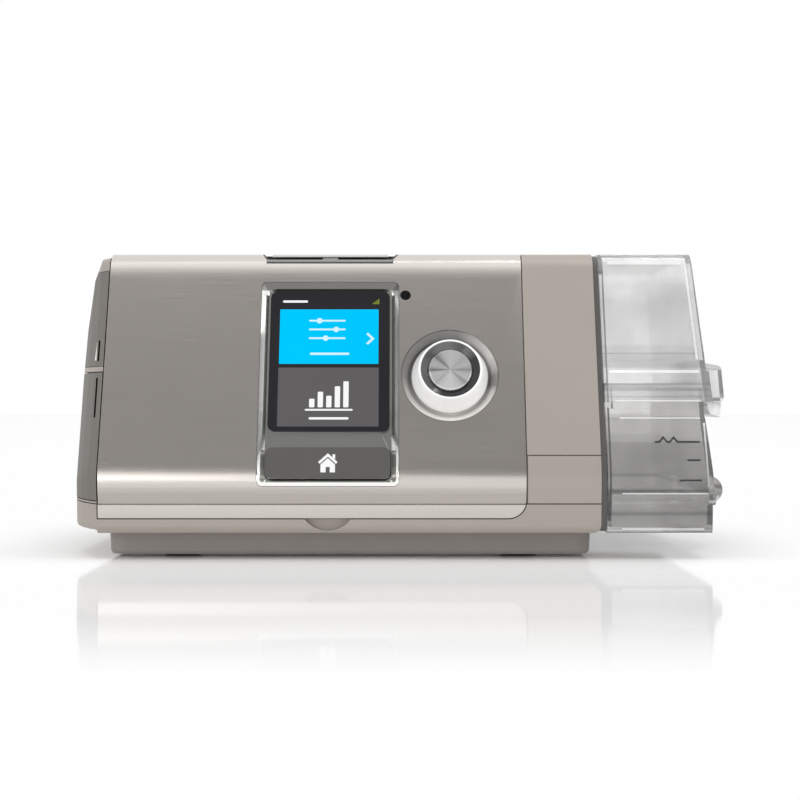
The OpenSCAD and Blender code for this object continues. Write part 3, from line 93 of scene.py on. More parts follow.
class Wire:
    """An output socket that takes part in sums. Each operator adds its own Math node."""

    def __init__(self, shader: "Shader", socket: bpy.types.NodeSocket) -> None:
        """Keeps the socket and the shader that it belongs to."""
        self.shader = shader
        self.socket = socket

    def math(self, operation: str, *terms: Term) -> "Wire":
        """Adds one Math node for an operation on the given terms."""
        return self.shader.add("ShaderNodeMath", {"operation": operation}, dict(enumerate(terms)))

    def __add__(self, other: Term) -> "Wire":
        """Returns self + other."""
        return self.math("ADD", self, other)

    def __radd__(self, other: Term) -> "Wire":
        """Returns other + self."""
        return self.math("ADD", other, self)

    def __sub__(self, other: Term) -> "Wire":
        """Returns self - other."""
        return self.math("SUBTRACT", self, other)

    def __rsub__(self, other: Term) -> "Wire":
        """Returns other - self."""
        return self.math("SUBTRACT", other, self)

    def __mul__(self, other: Term) -> "Wire":
        """Returns self * other."""
        return self.math("MULTIPLY", self, other)

    def __rmul__(self, other: Term) -> "Wire":
        """Returns other * self."""
        return self.math("MULTIPLY", other, self)

    def __truediv__(self, other: Term) -> "Wire":
        """Returns self / other."""
        return self.math("DIVIDE", self, other)

    def __pow__(self, other: Term) -> "Wire":
        """Returns self raised to other."""
        return self.math("POWER", self, other)

    def __abs__(self) -> "Wire":
        """Returns the size of self without its sign."""
        return self.math("ABSOLUTE", self)

    def below(self, limit: float, soft: float) -> "Wire":
        """Returns 1 where self lies under a limit and 0 over it, with a soft step.

        Args:
            limit: Value at the middle of the step.
            soft: Width of the step.

        Returns:
            The mask.
        """
        ends = {"From Min": limit - soft / 2, "From Max": limit + soft / 2}
        sockets = {"Value": self, **ends, "To Min": 1.0, "To Max": 0.0}
        settings = {"interpolation_type": "SMOOTHSTEP"}
        return self.shader.add("ShaderNodeMapRange", settings, sockets)

    def swing(self, reach: float) -> "Wire":
        """Returns a pattern around 0.5 as a change of at most half a reach either way."""
        return (self - 0.5) * reach


class Shader:
    """Builds the nodes of one material or of the world."""

    def __init__(self, name: str, owner: Optional[bpy.types.World] = None) -> None:
        """Starts with an empty set of nodes.

        Args:
            name: Name of the material.
            owner: World that the nodes belong to, or None for a new material.
        """
        self.material = owner or bpy.data.materials.new(name)
        self.material.use_nodes = True
        self.tree = self.material.node_tree
        self.tree.nodes.clear()

    @cached_property
    def place(self) -> Wire:
        """Returns the place of a point in the frame of the model."""
        return self.add("ShaderNodeTexCoord", out="Object")

    def ray(self, *kinds: str) -> Wire:
        """Tells rays of some kinds from all others.

        Args:
            *kinds: Kinds of rays, such as Glossy.

        Returns:
            1 for rays of any of these kinds, and else 0.
        """
        first, *others = (self.add("ShaderNodeLightPath", out=f"Is {kind} Ray") for kind in kinds)
        for other in others:
            first = first.math("MAXIMUM", first, other)
        return first

    def add(
        self,
        kind: str,
        settings: Optional[dict[str, Any]] = None,
        sockets: Optional[Sockets] = None,
        out: Union[int, str] = 0,
    ) -> Wire:
        """Adds any node.

        Args:
            kind: Type of the node.
            settings: Its properties, and "stops" for the stops of a colour ramp.
            sockets: Values or links of its inputs.
            out: Name or number of the output that is returned.

        Returns:
            The chosen output.
        """
        node = self.tree.nodes.new(kind)
        for key, value in (settings or {}).items():
            if key == "stops":
                self._ramp(node.color_ramp, value)
            else:
                setattr(node, key, value)
        for key, value in (sockets or {}).items():
            self.plug(node.inputs[key], value)
        return Wire(self, node.outputs[out]) if node.outputs else Wire(self, node.inputs[0])

    @staticmethod
    def _ramp(ramp: bpy.types.ColorRamp, stops: Sequence[tuple[float, Colour]]) -> None:
        """Gives a colour ramp its stops.

        Args:
            ramp: The ramp of a node.
            stops: Places from 0 to 1 in rising order, each with its colour.
        """
        while len(ramp.elements) > 1:
            ramp.elements.remove(ramp.elements[-1])
        for number, (place, colour) in enumerate(stops):
            element = ramp.elements[0] if number == 0 else ramp.elements.new(place)
            element.position = place
            element.color = (*colour, 1.0)

    def plug(self, socket: bpy.types.NodeSocket, value: Term) -> None:
        """Links an input, or sets its value.

        Args:
            socket: The input.
            value: An output to link, or a plain value.
        """
        if isinstance(value, Wire):
            self.tree.links.new(value.socket, socket)
        elif isinstance(value, (tuple, list)) and len(value) == 3 and socket.type == "RGBA":
            socket.default_value = (*value, 1.0)
        else:
            socket.default_value = value

    def mix(self, factor: Term, low: Term, high: Term) -> Wire:
        """Mixes two colours by a factor from 0 to 1."""
        return self.add("ShaderNodeMix", {"data_type": "RGBA"}, {0: factor, 6: low, 7: high}, out=2)

    def blend(self, factor: Term, low: Wire, high: Wire) -> Wire:
        """Mixes two surfaces by a factor from 0 to 1."""
        return self.add("ShaderNodeMixShader", None, {0: factor, 1: low, 2: high})

    def shine(self, colour: Colour, strength: float) -> Wire:
        """Adds a surface that gives off an even light."""
        return self.add("ShaderNodeEmission", None, {"Color": colour, "Strength": strength})

    def tint(self, colour: Colour, shade: Term) -> Wire:
        """Makes a colour lighter or darker by a shade from 0 to 2."""
        return self.mix(shade * 0.5, NO_LIGHT, tuple(2 * part for part in colour))

    def ramp(self, value: Wire, levels: Levels, top: float = 1.0) -> Wire:
        """Turns a value into a level by a table of values and levels, whose last value is top."""
        stops = [(place / top, (level, level, level)) for place, level in levels]
        return self.add("ShaderNodeValToRGB", {"stops": stops}, {"Fac": value / top})

    def by_height(self, value: Term, levels: Levels) -> Term:
        """Multiplies a value by a level that changes with the height.

        Args:
            value: The value at a level of 1.
            levels: Heights in millimetres and their levels, or nothing for no change.

        Returns:
            The value for each height.
        """
        if not levels:
            return value
        _, _, height = self.axes()
        return self.ramp(height / MM, levels, levels[-1][0]) * value

    def stretched(self, stretch: Sequence[float]) -> Wire:
        """Returns the place in a space where patterns come out longer by a factor for each axis."""
        sockets = {0: self.place, 1: [1 / part for part in stretch]}
        return self.add("ShaderNodeVectorMath", {"operation": "MULTIPLY"}, sockets)

    def axes(self, place: Optional[Wire] = None) -> tuple[Wire, Wire, Wire]:
        """Splits a place into its three parts.

        Args:
            place: The place, or None for the one in the frame of the model.

        Returns:
            Its x, y and z.
        """
        split = self.add("ShaderNodeSeparateXYZ", None, {0: place or self.place})
        outputs = split.socket.node.outputs
        return Wire(self, outputs[0]), Wire(self, outputs[1]), Wire(self, outputs[2])

    def noise(
        self, size_mm: float, detail: float = 2.0, stretch: Sequence[float] = (1, 1, 1)
    ) -> Wire:
        """Adds a noise pattern.

        Args:
            size_mm: Size of its grains in millimetres.
            detail: Number of finer layers.
            stretch: How much longer the grains are along each axis.

        Returns:
            The pattern, around 0.5.
        """
        sockets = {
            "Vector": self.stretched(stretch),
            "Scale": 1 / (size_mm * MM),
            "Detail": detail,
            "Roughness": NOISE_ROUGHNESS,
        }
        return self.add("ShaderNodeTexNoise", None, sockets)

    def cells(
        self, size_mm: float, settings: dict[str, str], stretch: Sequence[float] = (1, 1, 1)
    ) -> Wire:
        """Adds a pattern of cells.

        Args:
            size_mm: Size of the cells in millimetres.
            settings: Properties of the node, such as the feature that it measures.
            stretch: How much longer the cells are along each axis.

        Returns:
            The distance that the node measures in each cell.
        """
        sockets = {"Vector": self.stretched(stretch), "Scale": 1 / (size_mm * MM)}
        return self.add("ShaderNodeTexVoronoi", settings, sockets, out="Distance")

    def bump(self, height: Wire, depth_mm: float) -> Wire:
        """Turns a height pattern into a surface normal, with its depth in millimetres."""
        sockets = {"Height": height, "Distance": depth_mm * MM, "Strength": 1.0}
        return self.add("ShaderNodeBump", None, sockets)

    def finish(self, surface: Wire, output: str = "ShaderNodeOutputMaterial") -> None:
        """Joins a surface to the output of the material or of the world."""
        self.add(output, None, {"Surface": surface})

    def surface(self, sockets: Sockets) -> bpy.types.Material:
        """Ends the material with a Principled surface.

        Args:
            sockets: Values or links of the surface's inputs.

        Returns:
            The finished material.
        """
        self.finish(self.add("ShaderNodeBsdfPrincipled", None, sockets))
        return self.material


@dataclass(frozen=True)
class Moulded:
    """Moulded plastic with an eroded grain and faint flow marks."""

    name: str
    colour: Colour
    roughness: float = 0.45
    grain_mm: float = 0.5
    depth_mm: float = 0.012
    metallic: float = 0.0
    levels: Levels = ()
    mottle: float = 0.05
    flow_mm: float = 26.0
    flow_mottle: float = 0.07
    uneven: float = 0.1

    def material(self) -> bpy.types.Material:
        """Builds the material.

        Returns:
            The finished material.
        """
        shader = Shader(self.name)
        grain = shader.noise(self.grain_mm)
        flow = shader.noise(self.flow_mm, detail=3.0)
        shade = 1 + grain.swing(self.mottle) + flow.swing(self.flow_mottle)
        uneven = grain.swing(self.uneven) + flow.swing(self.uneven)
        return shader.surface(
            {
                "Base Color": shader.tint(self.colour, shader.by_height(shade, self.levels)),
                "Roughness": self.roughness + uneven,
                "Metallic": self.metallic,
                "Normal": shader.bump(grain, self.depth_mm),
            }
        )


@dataclass(frozen=True)
class Brushed:
    """A semi-matt metallic skin with fine brushing along X."""

    name: str
    colour: Colour
    roughness: float = 0.4
    metallic: float = 0.7
    contrast: float = 0.1
    # Metallic levels by height, for a painted highlight where the metal turns less metallic.
    satin: Levels = ()
    line_mm: float = 0.22
    band_mm: float = 1.54
    run: float = 90.0
    uneven: float = 0.12
    depth_mm: float = 0.0015

    def material(self) -> bpy.types.Material:
        """Builds the material.

        Returns:
            The finished material.
        """
        shader = Shader(self.name)
        lines = shader.noise(self.line_mm, stretch=(self.run, 1, 1))
        bands = shader.noise(self.band_mm, detail=3.0, stretch=(self.run, 1, 1))
        shade = 1 + lines.swing(self.contrast) + bands.swing(self.contrast)
        return shader.surface(
            {
                "Base Color": shader.tint(self.colour, shade),
                "Roughness": self.roughness + lines.swing(self.uneven),
                "Metallic": shader.by_height(self.metallic, self.satin),
                "Normal": shader.bump(lines, self.depth_mm),
            }
        )


@dataclass(frozen=True)
class Polished:
    """A smooth glossy skin with the faint ripple of a moulded or drawn face."""

    name: str
    colour: Colour
    roughness: float = 0.08
    metallic: float = 0.0
    gloss: float = 0.5
    levels: Levels = ()
    ripple_mm: float = 14.0
    contrast: float = 0.08
    depth_mm: float = 0.02
    dust_mm: float = 0.9
    uneven: float = 0.05

    def material(self) -> bpy.types.Material:
        """Builds the material.

        Returns:
            The finished material.
        """
        shader = Shader(self.name)
        ripple = shader.noise(self.ripple_mm)
        dust = shader.noise(self.dust_mm, detail=3.0)
        shade = shader.by_height(1 + ripple.swing(self.contrast), self.levels)
        return shader.surface(
            {
                "Base Color": shader.tint(self.colour, shade),
                "Roughness": self.roughness + dust.swing(self.uneven),
                "Metallic": self.metallic,
                "Specular IOR Level": self.gloss,
                "Normal": shader.bump(ripple, self.depth_mm),
            }
        )


@dataclass(frozen=True)
class Turned:
    """A face turned on a lathe: fine rings round the dial's axis, and painted light round the turn.

    The painted light is a level by the part of a full turn, which starts at the left and runs
    through the bottom: bands of painted reflection and shade.
    """

    name: str
    colour: Colour
    ring_mm: float = 0.35
    roughness: float = 0.28
    metallic: float = 1.0
    # Painted reflection and shade, as levels by the part of a turn.
    painted_light: Levels = ()
    contrast: float = 0.22
    uneven: float = 0.1
    depth_mm: float = 0.01
    centre: Point = DIAL_AXIS

    def material(self) -> bpy.types.Material:
        """Builds the material.

        Returns:
            The finished material.
        """
        shader = Shader(self.name)
        settings = {"operation": "SUBTRACT"}
        sockets = {0: shader.place, 1: self.centre}
        x, y, z = shader.axes(shader.add("ShaderNodeVectorMath", settings, sockets))
        up = y * math.sin(LEAN) + z * math.cos(LEAN)
        radius = (x * x + up * up) ** 0.5
        rings = shader.add(
            "ShaderNodeTexNoise",
            {"noise_dimensions": "1D"},
            {"W": radius, "Scale": 1 / (self.ring_mm * MM), "Detail": 2.0},
        )
        shade = 1 + rings.swing(self.contrast)
        if self.painted_light:
            turn = radius.math("ARCTAN2", up, x) / math.tau + 0.5
            shade = shade * shader.ramp(turn, self.painted_light)
        return shader.surface(
            {
                "Base Color": shader.tint(self.colour, shade),
                "Roughness": self.roughness + rings.swing(self.uneven),
                "Metallic": self.metallic,
                "Normal": shader.bump(rings, self.depth_mm),
            }
        )


@dataclass(frozen=True)
class Clear:
    """Clear moulded plastic, with the faint waves, clouds and scuffs of a used tub."""

    name: str
    colour: Colour
    roughness: float = 0.07
    clarity: float = 0.86
    levels: Levels = ()
    bend: float = 1.16
    wave_mm: float = 9.0
    depth_mm: float = 0.05
    cloud_mm: float = 24.0
    cloudy: float = 0.55
    scuff_mm: float = 1.6
    uneven: float = 0.06

    def material(self) -> bpy.types.Material:
        """Builds the material.

        Returns:
            The finished material.
        """
        shader = Shader(self.name)
        wave = shader.noise(self.wave_mm)
        cloud = shader.noise(self.cloud_mm, detail=3.0)
        scuff = shader.noise(self.scuff_mm, detail=4.0)
        shade = shader.by_height(1 + cloud.swing(self.cloudy), self.levels)
        return shader.surface(
            {
                "Base Color": shader.tint(self.colour, shade),
                "Roughness": self.roughness + scuff.swing(self.uneven),
                "IOR": self.bend,
                "Transmission Weight": self.clarity,
                "Specular IOR Level": 1.0,
                "Normal": shader.bump(wave, self.depth_mm),
            }
        )


@dataclass(frozen=True)
class Board:
    """A printed circuit board: solder mask over copper lines, with tinned pads.

    Lines and pads are given as a limit in their pattern and the width of its soft edge.
    """

    name: str
    colour: Colour
    pitch_mm: float = 1.4
    block_mm: float = 5.6
    lines_per_block: int = 6
    line: Pair = (0.2, 0.1)
    pad: Pair = (0.16, 0.04)
    grain_mm: float = 0.6
    copper_gain: float = 1.7
    tin: Colour = (0.62, 0.60, 0.52)
    roughness: float = 0.32
    uneven: float = 0.1
    depth_mm: float = 0.03

    def material(self) -> bpy.types.Material:
        """Builds the material.

        Returns:
            The finished material.
        """
        shader = Shader(self.name)
        step = shader.cells(self.block_mm, {"distance": "CHEBYCHEV", "feature": "F1"})
        wrapped = step.math("FRACT", step * self.lines_per_block)
        lines = abs(wrapped - 0.5).below(*self.line)
        pads = shader.cells(self.pitch_mm, {"feature": "F1"}).below(*self.pad)
        grain = shader.noise(self.grain_mm)
        copper = tuple(min(1.0, self.copper_gain * part) for part in self.colour)
        colour = shader.mix(lines, self.colour, copper)
        return shader.surface(
            {
                "Base Color": shader.mix(pads, colour, self.tin),
                "Metallic": pads,
                "Roughness": self.roughness + grain.swing(self.uneven),
                "Normal": shader.bump(lines + pads, self.depth_mm),
            }
        )


@dataclass(frozen=True)
class Porous:
    """Open foam or felted fibre, with walls that are lighter than its cells.

    The walls are given as a limit in the cells' pattern and the width of its soft edge.
    """

    name: str
    colour: Colour
    cell_mm: float
    depth_mm: float
    stretch: Point = (1, 1, 1)
    wall: Pair = (0.22, 0.3)
    tuft: float = 6.0
    mottle: float = 0.2
    cell_shade: float = 0.75
    wall_shade: float = 0.35
    roughness: float = 0.92

    def material(self) -> bpy.types.Material:
        """Builds the material.

        Returns:
            The finished material.
        """
        shader = Shader(self.name)
        edge = shader.cells(self.cell_mm, {"feature": "DISTANCE_TO_EDGE"}, self.stretch)
        walls = edge.below(*self.wall)
        tuft = shader.noise(self.tuft * self.cell_mm, detail=3.0)
        shade = self.cell_shade + walls * self.wall_shade + tuft.swing(self.mottle)
        return shader.surface(
            {
                "Base Color": shader.tint(self.colour, shade),
                "Roughness": self.roughness,
                "Normal": shader.bump(walls, self.depth_mm),
            }
        )


@dataclass(frozen=True)
class Lit:
    """A lit area of the display, with its fine dots and an uneven backlight."""

    name: str
    colour: Colour
    level: float = 1.0
    dot_mm: float = 0.28
    dot_contrast: float = 0.03
    glow_mm: float = 30.0
    glow_contrast: float = 0.12
    roughness: float = 0.25

    def material(self) -> bpy.types.Material:
        """Builds the material.

        Returns:
            The finished material.
        """
        shader = Shader(self.name)
        x, _, z = shader.axes()
        pitch = math.tau / (self.dot_mm * MM)
        dots = x.math("SINE", x * pitch) * z.math("SINE", z * pitch)
        glow = shader.noise(self.glow_mm, detail=1.0)
        shade = 1 + dots * self.dot_contrast + glow.swing(self.glow_contrast)
        return shader.surface(
            {
                "Base Color": NO_LIGHT,
                "Roughness": self.roughness,
                "Specular IOR Level": 0.0,
                "Emission Color": shader.tint(self.colour, shade),
                "Emission Strength": self.level,
            }
        )


# Levels of the tub's clear walls by height in millimetres: its ribs, flange and fill line. These
# are painted light and shade: dark lines at the ribs, flange and seams are painted shade, and the
# lid's brighter top is a painted highlight of its rounded edge.
LID_PAINTED_LIGHT = (
    (58.0, 1.0),
    (60.0, 1.02),
    (60.35, 0.7),
    (60.7, 1.02),
    (62.6, 1.02),
    (63.0, 0.7),
    (63.4, 1.02),
    (64.8, 1.03),
    (65.2, 0.72),
    (65.6, 0.98),
    (69.0, 0.98),
    (71.0, 1.03),
    (71.5, 0.84),
    (76.5, 0.85),
    (76.8, 0.62),
    (77.1, 0.87),
    (79.6, 0.88),
    (80.4, 0.96),
    (90.0, 0.93),
    (98.0, 0.87),
    (103.0, 0.88),
    (107.0, 1.0),
    (111.0, 1.05),
    (114.5, 1.05),
    (120.0, 0.98),
)
# The base's dark lines at its ridges and seam are painted shade; it is also darker below the fill
# line, for the water in it.
BASE_PAINTED_SHADE_AND_WATER = (
    (10.0, 0.82),
    (16.2, 0.74),
    (17.1, 0.46),
    (18.0, 0.74),
    (20.4, 0.82),
    (24.4, 0.8),
    (25.0, 0.46),
    (25.9, 0.46),
    (26.4, 0.74),
    (43.4, 0.76),
    (43.7, 0.9),
    (51.8, 0.95),
    (52.3, 0.8),
    (52.8, 1.03),
    (58.0, 1.03),
    (120.0, 1.03),
)
# Levels of the dial's faces by the part of a turn. These are painted light: bright and dark bands
# that stand in for the reflections and shade on turned metal.
CAP_PAINTED_LIGHT = (
    (0.0, 0.35),
    (0.012, 0.55),
    (0.03, 1.0),
    (0.1, 0.95),
    (0.125, 0.8),
    (0.15, 1.05),
    (0.25, 1.2),
    (0.34, 1.0),
    (0.385, 0.6),
    (0.41, 1.0),
    (0.46, 0.95),
    (0.49, 0.7),
    (0.5, 0.5),
    (0.51, 0.75),
    (0.55, 1.0),
    (0.62, 0.85),
    (0.66, 1.0),
    (0.75, 1.1),
    (0.82, 0.95),
    (0.862, 0.55),
    (0.885, 0.42),
    (0.9, 0.85),
    (0.95, 0.95),
    (0.985, 0.75),
    (1.0, 0.35),
)
INSERT_PAINTED_LIGHT = (
    (0.0, 1.45),
    (0.1, 1.15),
    (0.185, 0.95),
    (0.195, 0.5),
    (0.33, 0.5),
    (0.48, 0.6),
    (0.62, 0.75),
    (0.68, 1.0),
    (0.76, 1.9),
    (0.83, 1.8),
    (0.9, 1.3),
    (1.0, 1.45),
)
SEAT_PAINTED_LIGHT = (
    (0.0, 0.5),
    (0.04, 0.75),
    (0.12, 1.4),
    (0.25, 1.95),
    (0.36, 1.6),
    (0.44, 1.1),
    (0.465, 0.5),
    (0.5, 0.5),
    (0.53, 0.9),
    (0.58, 1.2),
    (0.66, 0.8),
    (0.72, 0.45),
    (0.84, 0.4),
    (1.0, 0.5),
)
# How metallic the fascia is by height. A painted highlight: the fascia turns less metallic close to
# its top edge, so a soft bright band stands in for the highlight of a rounder edge.
FASCIA_PAINTED_HIGHLIGHT = (
    (0.0, 1.0),
    (105.8, 1.0),
    (107.6, 0.86),
    (109.4, 0.5),
    (110.9, 0.0),
    (112.4, 0.0),
    (112.8, 1.0),
    (120.0, 1.0),
)
# Levels of the bezel's bevels and of the start bar's surround by height. The bezel's levels are
# painted light: a painted highlight on its lower bevel and painted shade on its top bevel. The
# start bar's surround is dark with one narrow light band.
BEZEL_PAINTED_LIGHT = (
    (27.0, 1.38),
    (33.0, 1.35),
    (35.0, 1.0),
    (54.0, 1.0),
    (58.0, 1.2),
    (101.0, 1.2),
    (101.6, 0.42),
    (110.0, 0.42),
)
TRIM_LEVELS = (
    (112.0, 0.25),
    (112.6, 0.25),
    (112.8, 1.7),
    (113.5, 1.7),
    (113.7, 0.25),
    (118.0, 0.25),
)


class Finish(Enum):
    """The finishes of the machine."""

    HOUSING = Moulded("housing_satin", srgb(171, 163, 155), 0.42, metallic=0.2)
    # The fascia carries a painted highlight along its top edge.
    FASCIA = Brushed("fascia_brushed", srgb(212, 206, 200), 0.24, 0.85, 0.06, FASCIA_PAINTED_HIGHLIGHT)
    # The dial's seat carries painted reflection and shade round the turn.
    SEAT = Turned("dial_seat_satin", srgb(184, 182, 179), 0.6, 0.24, 0.4, SEAT_PAINTED_LIGHT, 0.1)
    DARK = Moulded("plinth_satin", srgb(148, 141, 136), 0.5)
    INNER = Moulded("inner_grey", srgb(96, 96, 95), 0.55)
    COVER = Moulded("cover_satin", srgb(109, 105, 100), 0.48)
    # The bezel carries painted light on its bevels by height.
    BEZEL = Polished("bezel_silver", srgb(218, 218, 215), 0.14, 0.9, levels=BEZEL_PAINTED_LIGHT)
    KEY = Brushed("key_silver", srgb(184, 183, 181), 0.2, 0.95, 0.05)
    # White of the painted highlight on the upper left cover.
    CATCH = Moulded("slot_highlight_white", srgb(244, 243, 240), 0.35)
    TRIM = Moulded("trim_dark", srgb(110, 110, 108), 0.4, levels=TRIM_LEVELS)
    BAR = Brushed("bar_silver", srgb(205, 205, 203), 0.3, 0.8)
    LINER = Moulded("bay_grey", srgb(88, 86, 84), 0.4)
    GLASS = Polished("screen_glass", srgb(7, 7, 8), 0.05, gloss=0.05)
    BLACK = Moulded("black_satin", srgb(32, 32, 34), 0.4)
    GLOSS_BLACK = Polished("black_gloss", srgb(16, 16, 18), 0.08)
    SILVER = Turned("dial_silver", srgb(252, 252, 251), 0.5, 0.2, 0.05, contrast=0.06)
    # The cap and insert carry painted reflection and shade round the turn.
    CAP = Turned("cap_spun", srgb(238, 238, 238), 0.3, 0.24, 0.7, CAP_PAINTED_LIGHT)
    INSERT = Turned("insert_dark_chrome", srgb(84, 84, 85), 0.8, 0.14, 0.8, INSERT_PAINTED_LIGHT)
    METAL = Brushed("sheet_metal", srgb(190, 190, 192), 0.3, 1.0)
    BRASS = Polished("contact_brass", srgb(206, 172, 92), 0.2, 1.0)
    GREEN = Board("solder_mask_green", srgb(24, 92, 52))
    RUBBER = Moulded("foot_rubber", srgb(44, 44, 46), 0.75, 0.8, 0.03)
    SILICONE = Moulded("silicone_grey", srgb(142, 145, 147), 0.5, 1.2, 0.02)
    FOAM = Porous("silencer_foam", srgb(74, 74, 77), cell_mm=0.8, depth_mm=0.3)
    FILTER = Porous("filter_fibre", srgb(238, 238, 234), 0.5, 0.15, stretch=(4, 1, 1))
    # The tub's walls carry painted light and shade by height.
    CLEAR_LID = Clear("clear_lid", (0.92, 0.918, 0.918), clarity=0.8, levels=LID_PAINTED_LIGHT)
    CLEAR_BASE = Clear("clear_base", (0.84, 0.837, 0.83), levels=BASE_PAINTED_SHADE_AND_WATER)
    CLEAR_LATCH = Clear("clear_latch", (0.99, 0.99, 0.988), clarity=0.88)
    # Painted highlights and painted light on the tub's edges.
    CLEAR_EDGE = Clear("clear_painted_highlight", (0.98, 0.98, 0.975), clarity=0.35)
    CLEAR_RIM = Clear("clear_rim_painted_light", (0.8, 0.8, 0.798), clarity=0.35)
    ROTOR = Clear("rotor_natural", (0.72, 0.75, 0.78), 0.25)
    TILE_CYAN = Lit("tile_cyan", srgb(0, 200, 255))
    TILE_GREY = Lit("tile_grey", srgb(98, 96, 97))
    MARK_PALE = Lit("mark_pale", srgb(214, 244, 252))
    MARK_WHITE = Lit("mark_white", srgb(250, 250, 250))
    MARK_LIME = Lit("mark_lime", srgb(150, 170, 60), 0.8)
    PRINT = Moulded("fill_mark_print", srgb(40, 41, 44), 0.5)

    def material(self) -> bpy.types.Material:
        """Returns the finish's material, built on its first use."""
        known = bpy.data.materials.get(self.value.name)
        return known or self.value.material()


# The rounding of sharp edges, and the limits of the flat outlines.
WELD_M = 2e-6
EDGE_SEGMENTS = 2
EDGE_ANGLE_DEG = 32
MITRE_MIN = 0.35
END_FLAT_MM = 0.02


def dress(node: str, finish: Finish, edge_mm: float = 0.0) -> None:
    """Gives a CAD node its finish and, where asked, rounded edges.

    Args:
        node: Name of the node.
        finish: Finish for all its faces.
        edge_mm: Width of the rounding at its sharp edges, or 0 for none.
    """
    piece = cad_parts[node]
    piece.data.materials.clear()
    piece.data.materials.append(finish.material())
    if edge_mm:
        weld = piece.modifiers.new("join_faces", "WELD")
        weld.merge_threshold = WELD_M
        bevel = piece.modifiers.new("round_edges", "BEVEL")
        bevel.width = edge_mm * MM
        bevel.segments = EDGE_SEGMENTS
        bevel.limit_method = "ANGLE"
        bevel.angle_limit = math.radians(EDGE_ANGLE_DEG)
        bevel.harden_normals = False
        normals = piece.modifiers.new("even_normals", "WEIGHTED_NORMAL")
        normals.keep_sharp = True
    log.info("dressed %s as %s", node, finish.value.name)


@dataclass(frozen=True)
class Tilted:
    """A plane that flat pieces lie on, which leans back as the front of the machine does."""

    origin: Vector

    def at(self, across: float, up: float, out: float = 0.0) -> Vector:
        """Returns the point at these millimetres across, up and out of the plane."""
        return self.origin + MM * (across * ACROSS + up * RISE + out * FACE)


def plane_over(node: str, thick_mm: float) -> Tilted:
    """Returns the front plane of a tilted flat node.

    Args:
        node: Name of the node.
        thick_mm: Its thickness in millimetres.

    Returns:
        The plane through the middle of its front face.
    """
    low, high = (Vector(corner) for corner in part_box(node))
    middle = Tilted((low + high) / 2)
    return Tilted(middle.at(0, 0, thick_mm / 2))


def rounded_box(at: Pair, width: float, height: float, radius: float, steps: int) -> Outline:
    """Returns the outline of a rectangle with round corners, in millimetres.

    Args:
        at: Its middle.
        width: Its whole width.
        height: Its whole height.
        radius: Radius of its corners.
        steps: Number of sides along each corner.

    Returns:
        The corners of the outline.
    """
    outline = []
    for corner, (side, top) in enumerate(((1, 1), (-1, 1), (-1, -1), (1, -1))):
        for step in range(steps + 1):
            angle = math.radians(90 * corner + 90 * step / steps)
            x = side * (width / 2 - radius) + radius * math.cos(angle)
            y = top * (height / 2 - radius) + radius * math.sin(angle)
            outline.append((x + at[0], y + at[1]))
    return outline


def capsule(at: Pair, width: float, height: float, steps: int = 3) -> Outline:
    """Returns the outline of a bar with round ends, in millimetres."""
    return rounded_box(at, width, height, (height - END_FLAT_MM) / 2, steps)


def stroke(points: Sequence[Pair], width: float) -> Outline:
    """Returns the outline of a line of even width, with mitred corners.

    Args:
        points: Points along the middle of the line.
        width: Width of the line, in the points' unit.

    Returns:
        The corners of the outline: one side onwards, and the other back.
    """
    left, right = [], []
    for number, point in enumerate(points):
        before = Vector(points[max(number - 1, 0)])
        after = Vector(points[min(number + 1, len(points) - 1)])
        here = Vector(point)
        first = (here - before).normalized() if number else (after - here).normalized()
        last = (after - here).normalized() if number < len(points) - 1 else first
        side = Vector((-(first + last).y, (first + last).x)).normalized()
        reach = width / 2 / max(MITRE_MIN, side.dot(Vector((-first.y, first.x))))
        left.append(tuple(here + side * reach))
        right.append(tuple(here - side * reach))
    return left + right[::-1]


class Relief:
    """Raised flat shapes that are collected into one piece."""

    def __init__(self, name: str) -> None:
        """Starts an empty piece."""
        self.name = name
        self.mesh = bmesh.new()

    def prism(self, outline: Outline, low: float, high: float, place: Place) -> None:
        """Adds a closed prism over an outline.

        Args:
            outline: Corners in millimetres.
            low: Level of its foot.
            high: Level of its face.
            place: Turns across, up and out into a point of the frame.
        """
        foot = [self.mesh.verts.new(place(x, y, low)) for x, y in outline]
        face = [self.mesh.verts.new(place(x, y, high)) for x, y in outline]
        self.mesh.faces.new(face)
        self.mesh.faces.new(foot[::-1])
        for number in range(len(outline)):
            after = (number + 1) % len(outline)
            self.mesh.faces.new((foot[number], foot[after], face[after], face[number]))

    def finish(self, finish: Finish, body: str, slot: str) -> bpy.types.Object:
        """Turns the shapes into a piece of the machine.

        Args:
            finish: Its finish.
            body: Name of the body that it rides on.
            slot: Material slot of the record that it follows; not used.

        Returns:
            The new object.
        """
        bmesh.ops.recalc_face_normals(self.mesh, faces=self.mesh.faces)
        data = bpy.data.meshes.new(self.name)
        self.mesh.to_mesh(data)
        self.mesh.free()
        piece = bpy.data.objects.new(self.name, data)
        bpy.context.scene.collection.objects.link(piece)
        data.materials.append(finish.material())
        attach(piece, body)
        log.info("built %s on %s", self.name, body)
        return piece


# Where a search for a wall starts, in front of the whole machine.
LOOK_FROM_Y = -0.2


def wall_of(node: str) -> Place:
    """Returns a way to place points on the wall that a node turns to the front.

    Args:
        node: Name of the node.

    Returns:
        A function of x and z that gives the point some millimetres proud of the wall.
    """

    def place(x: float, z: float, out: float) -> Vector:
        """Finds a point on the wall by looking for it from the front.

        Args:
            x: Millimetres to the right.
            z: Millimetres up.
            out: Millimetres proud of the wall.

        Returns:
            The point.
        """
        start = Vector((x * MM, LOOK_FROM_Y, z * MM))
        hit, point, normal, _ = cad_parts[node].ray_cast(start, Vector((0, 1, 0)))
        if not hit:
            raise RuntimeError(f"no wall of {node} behind {x}, {z}")
        return point + out * MM * normal

    return place


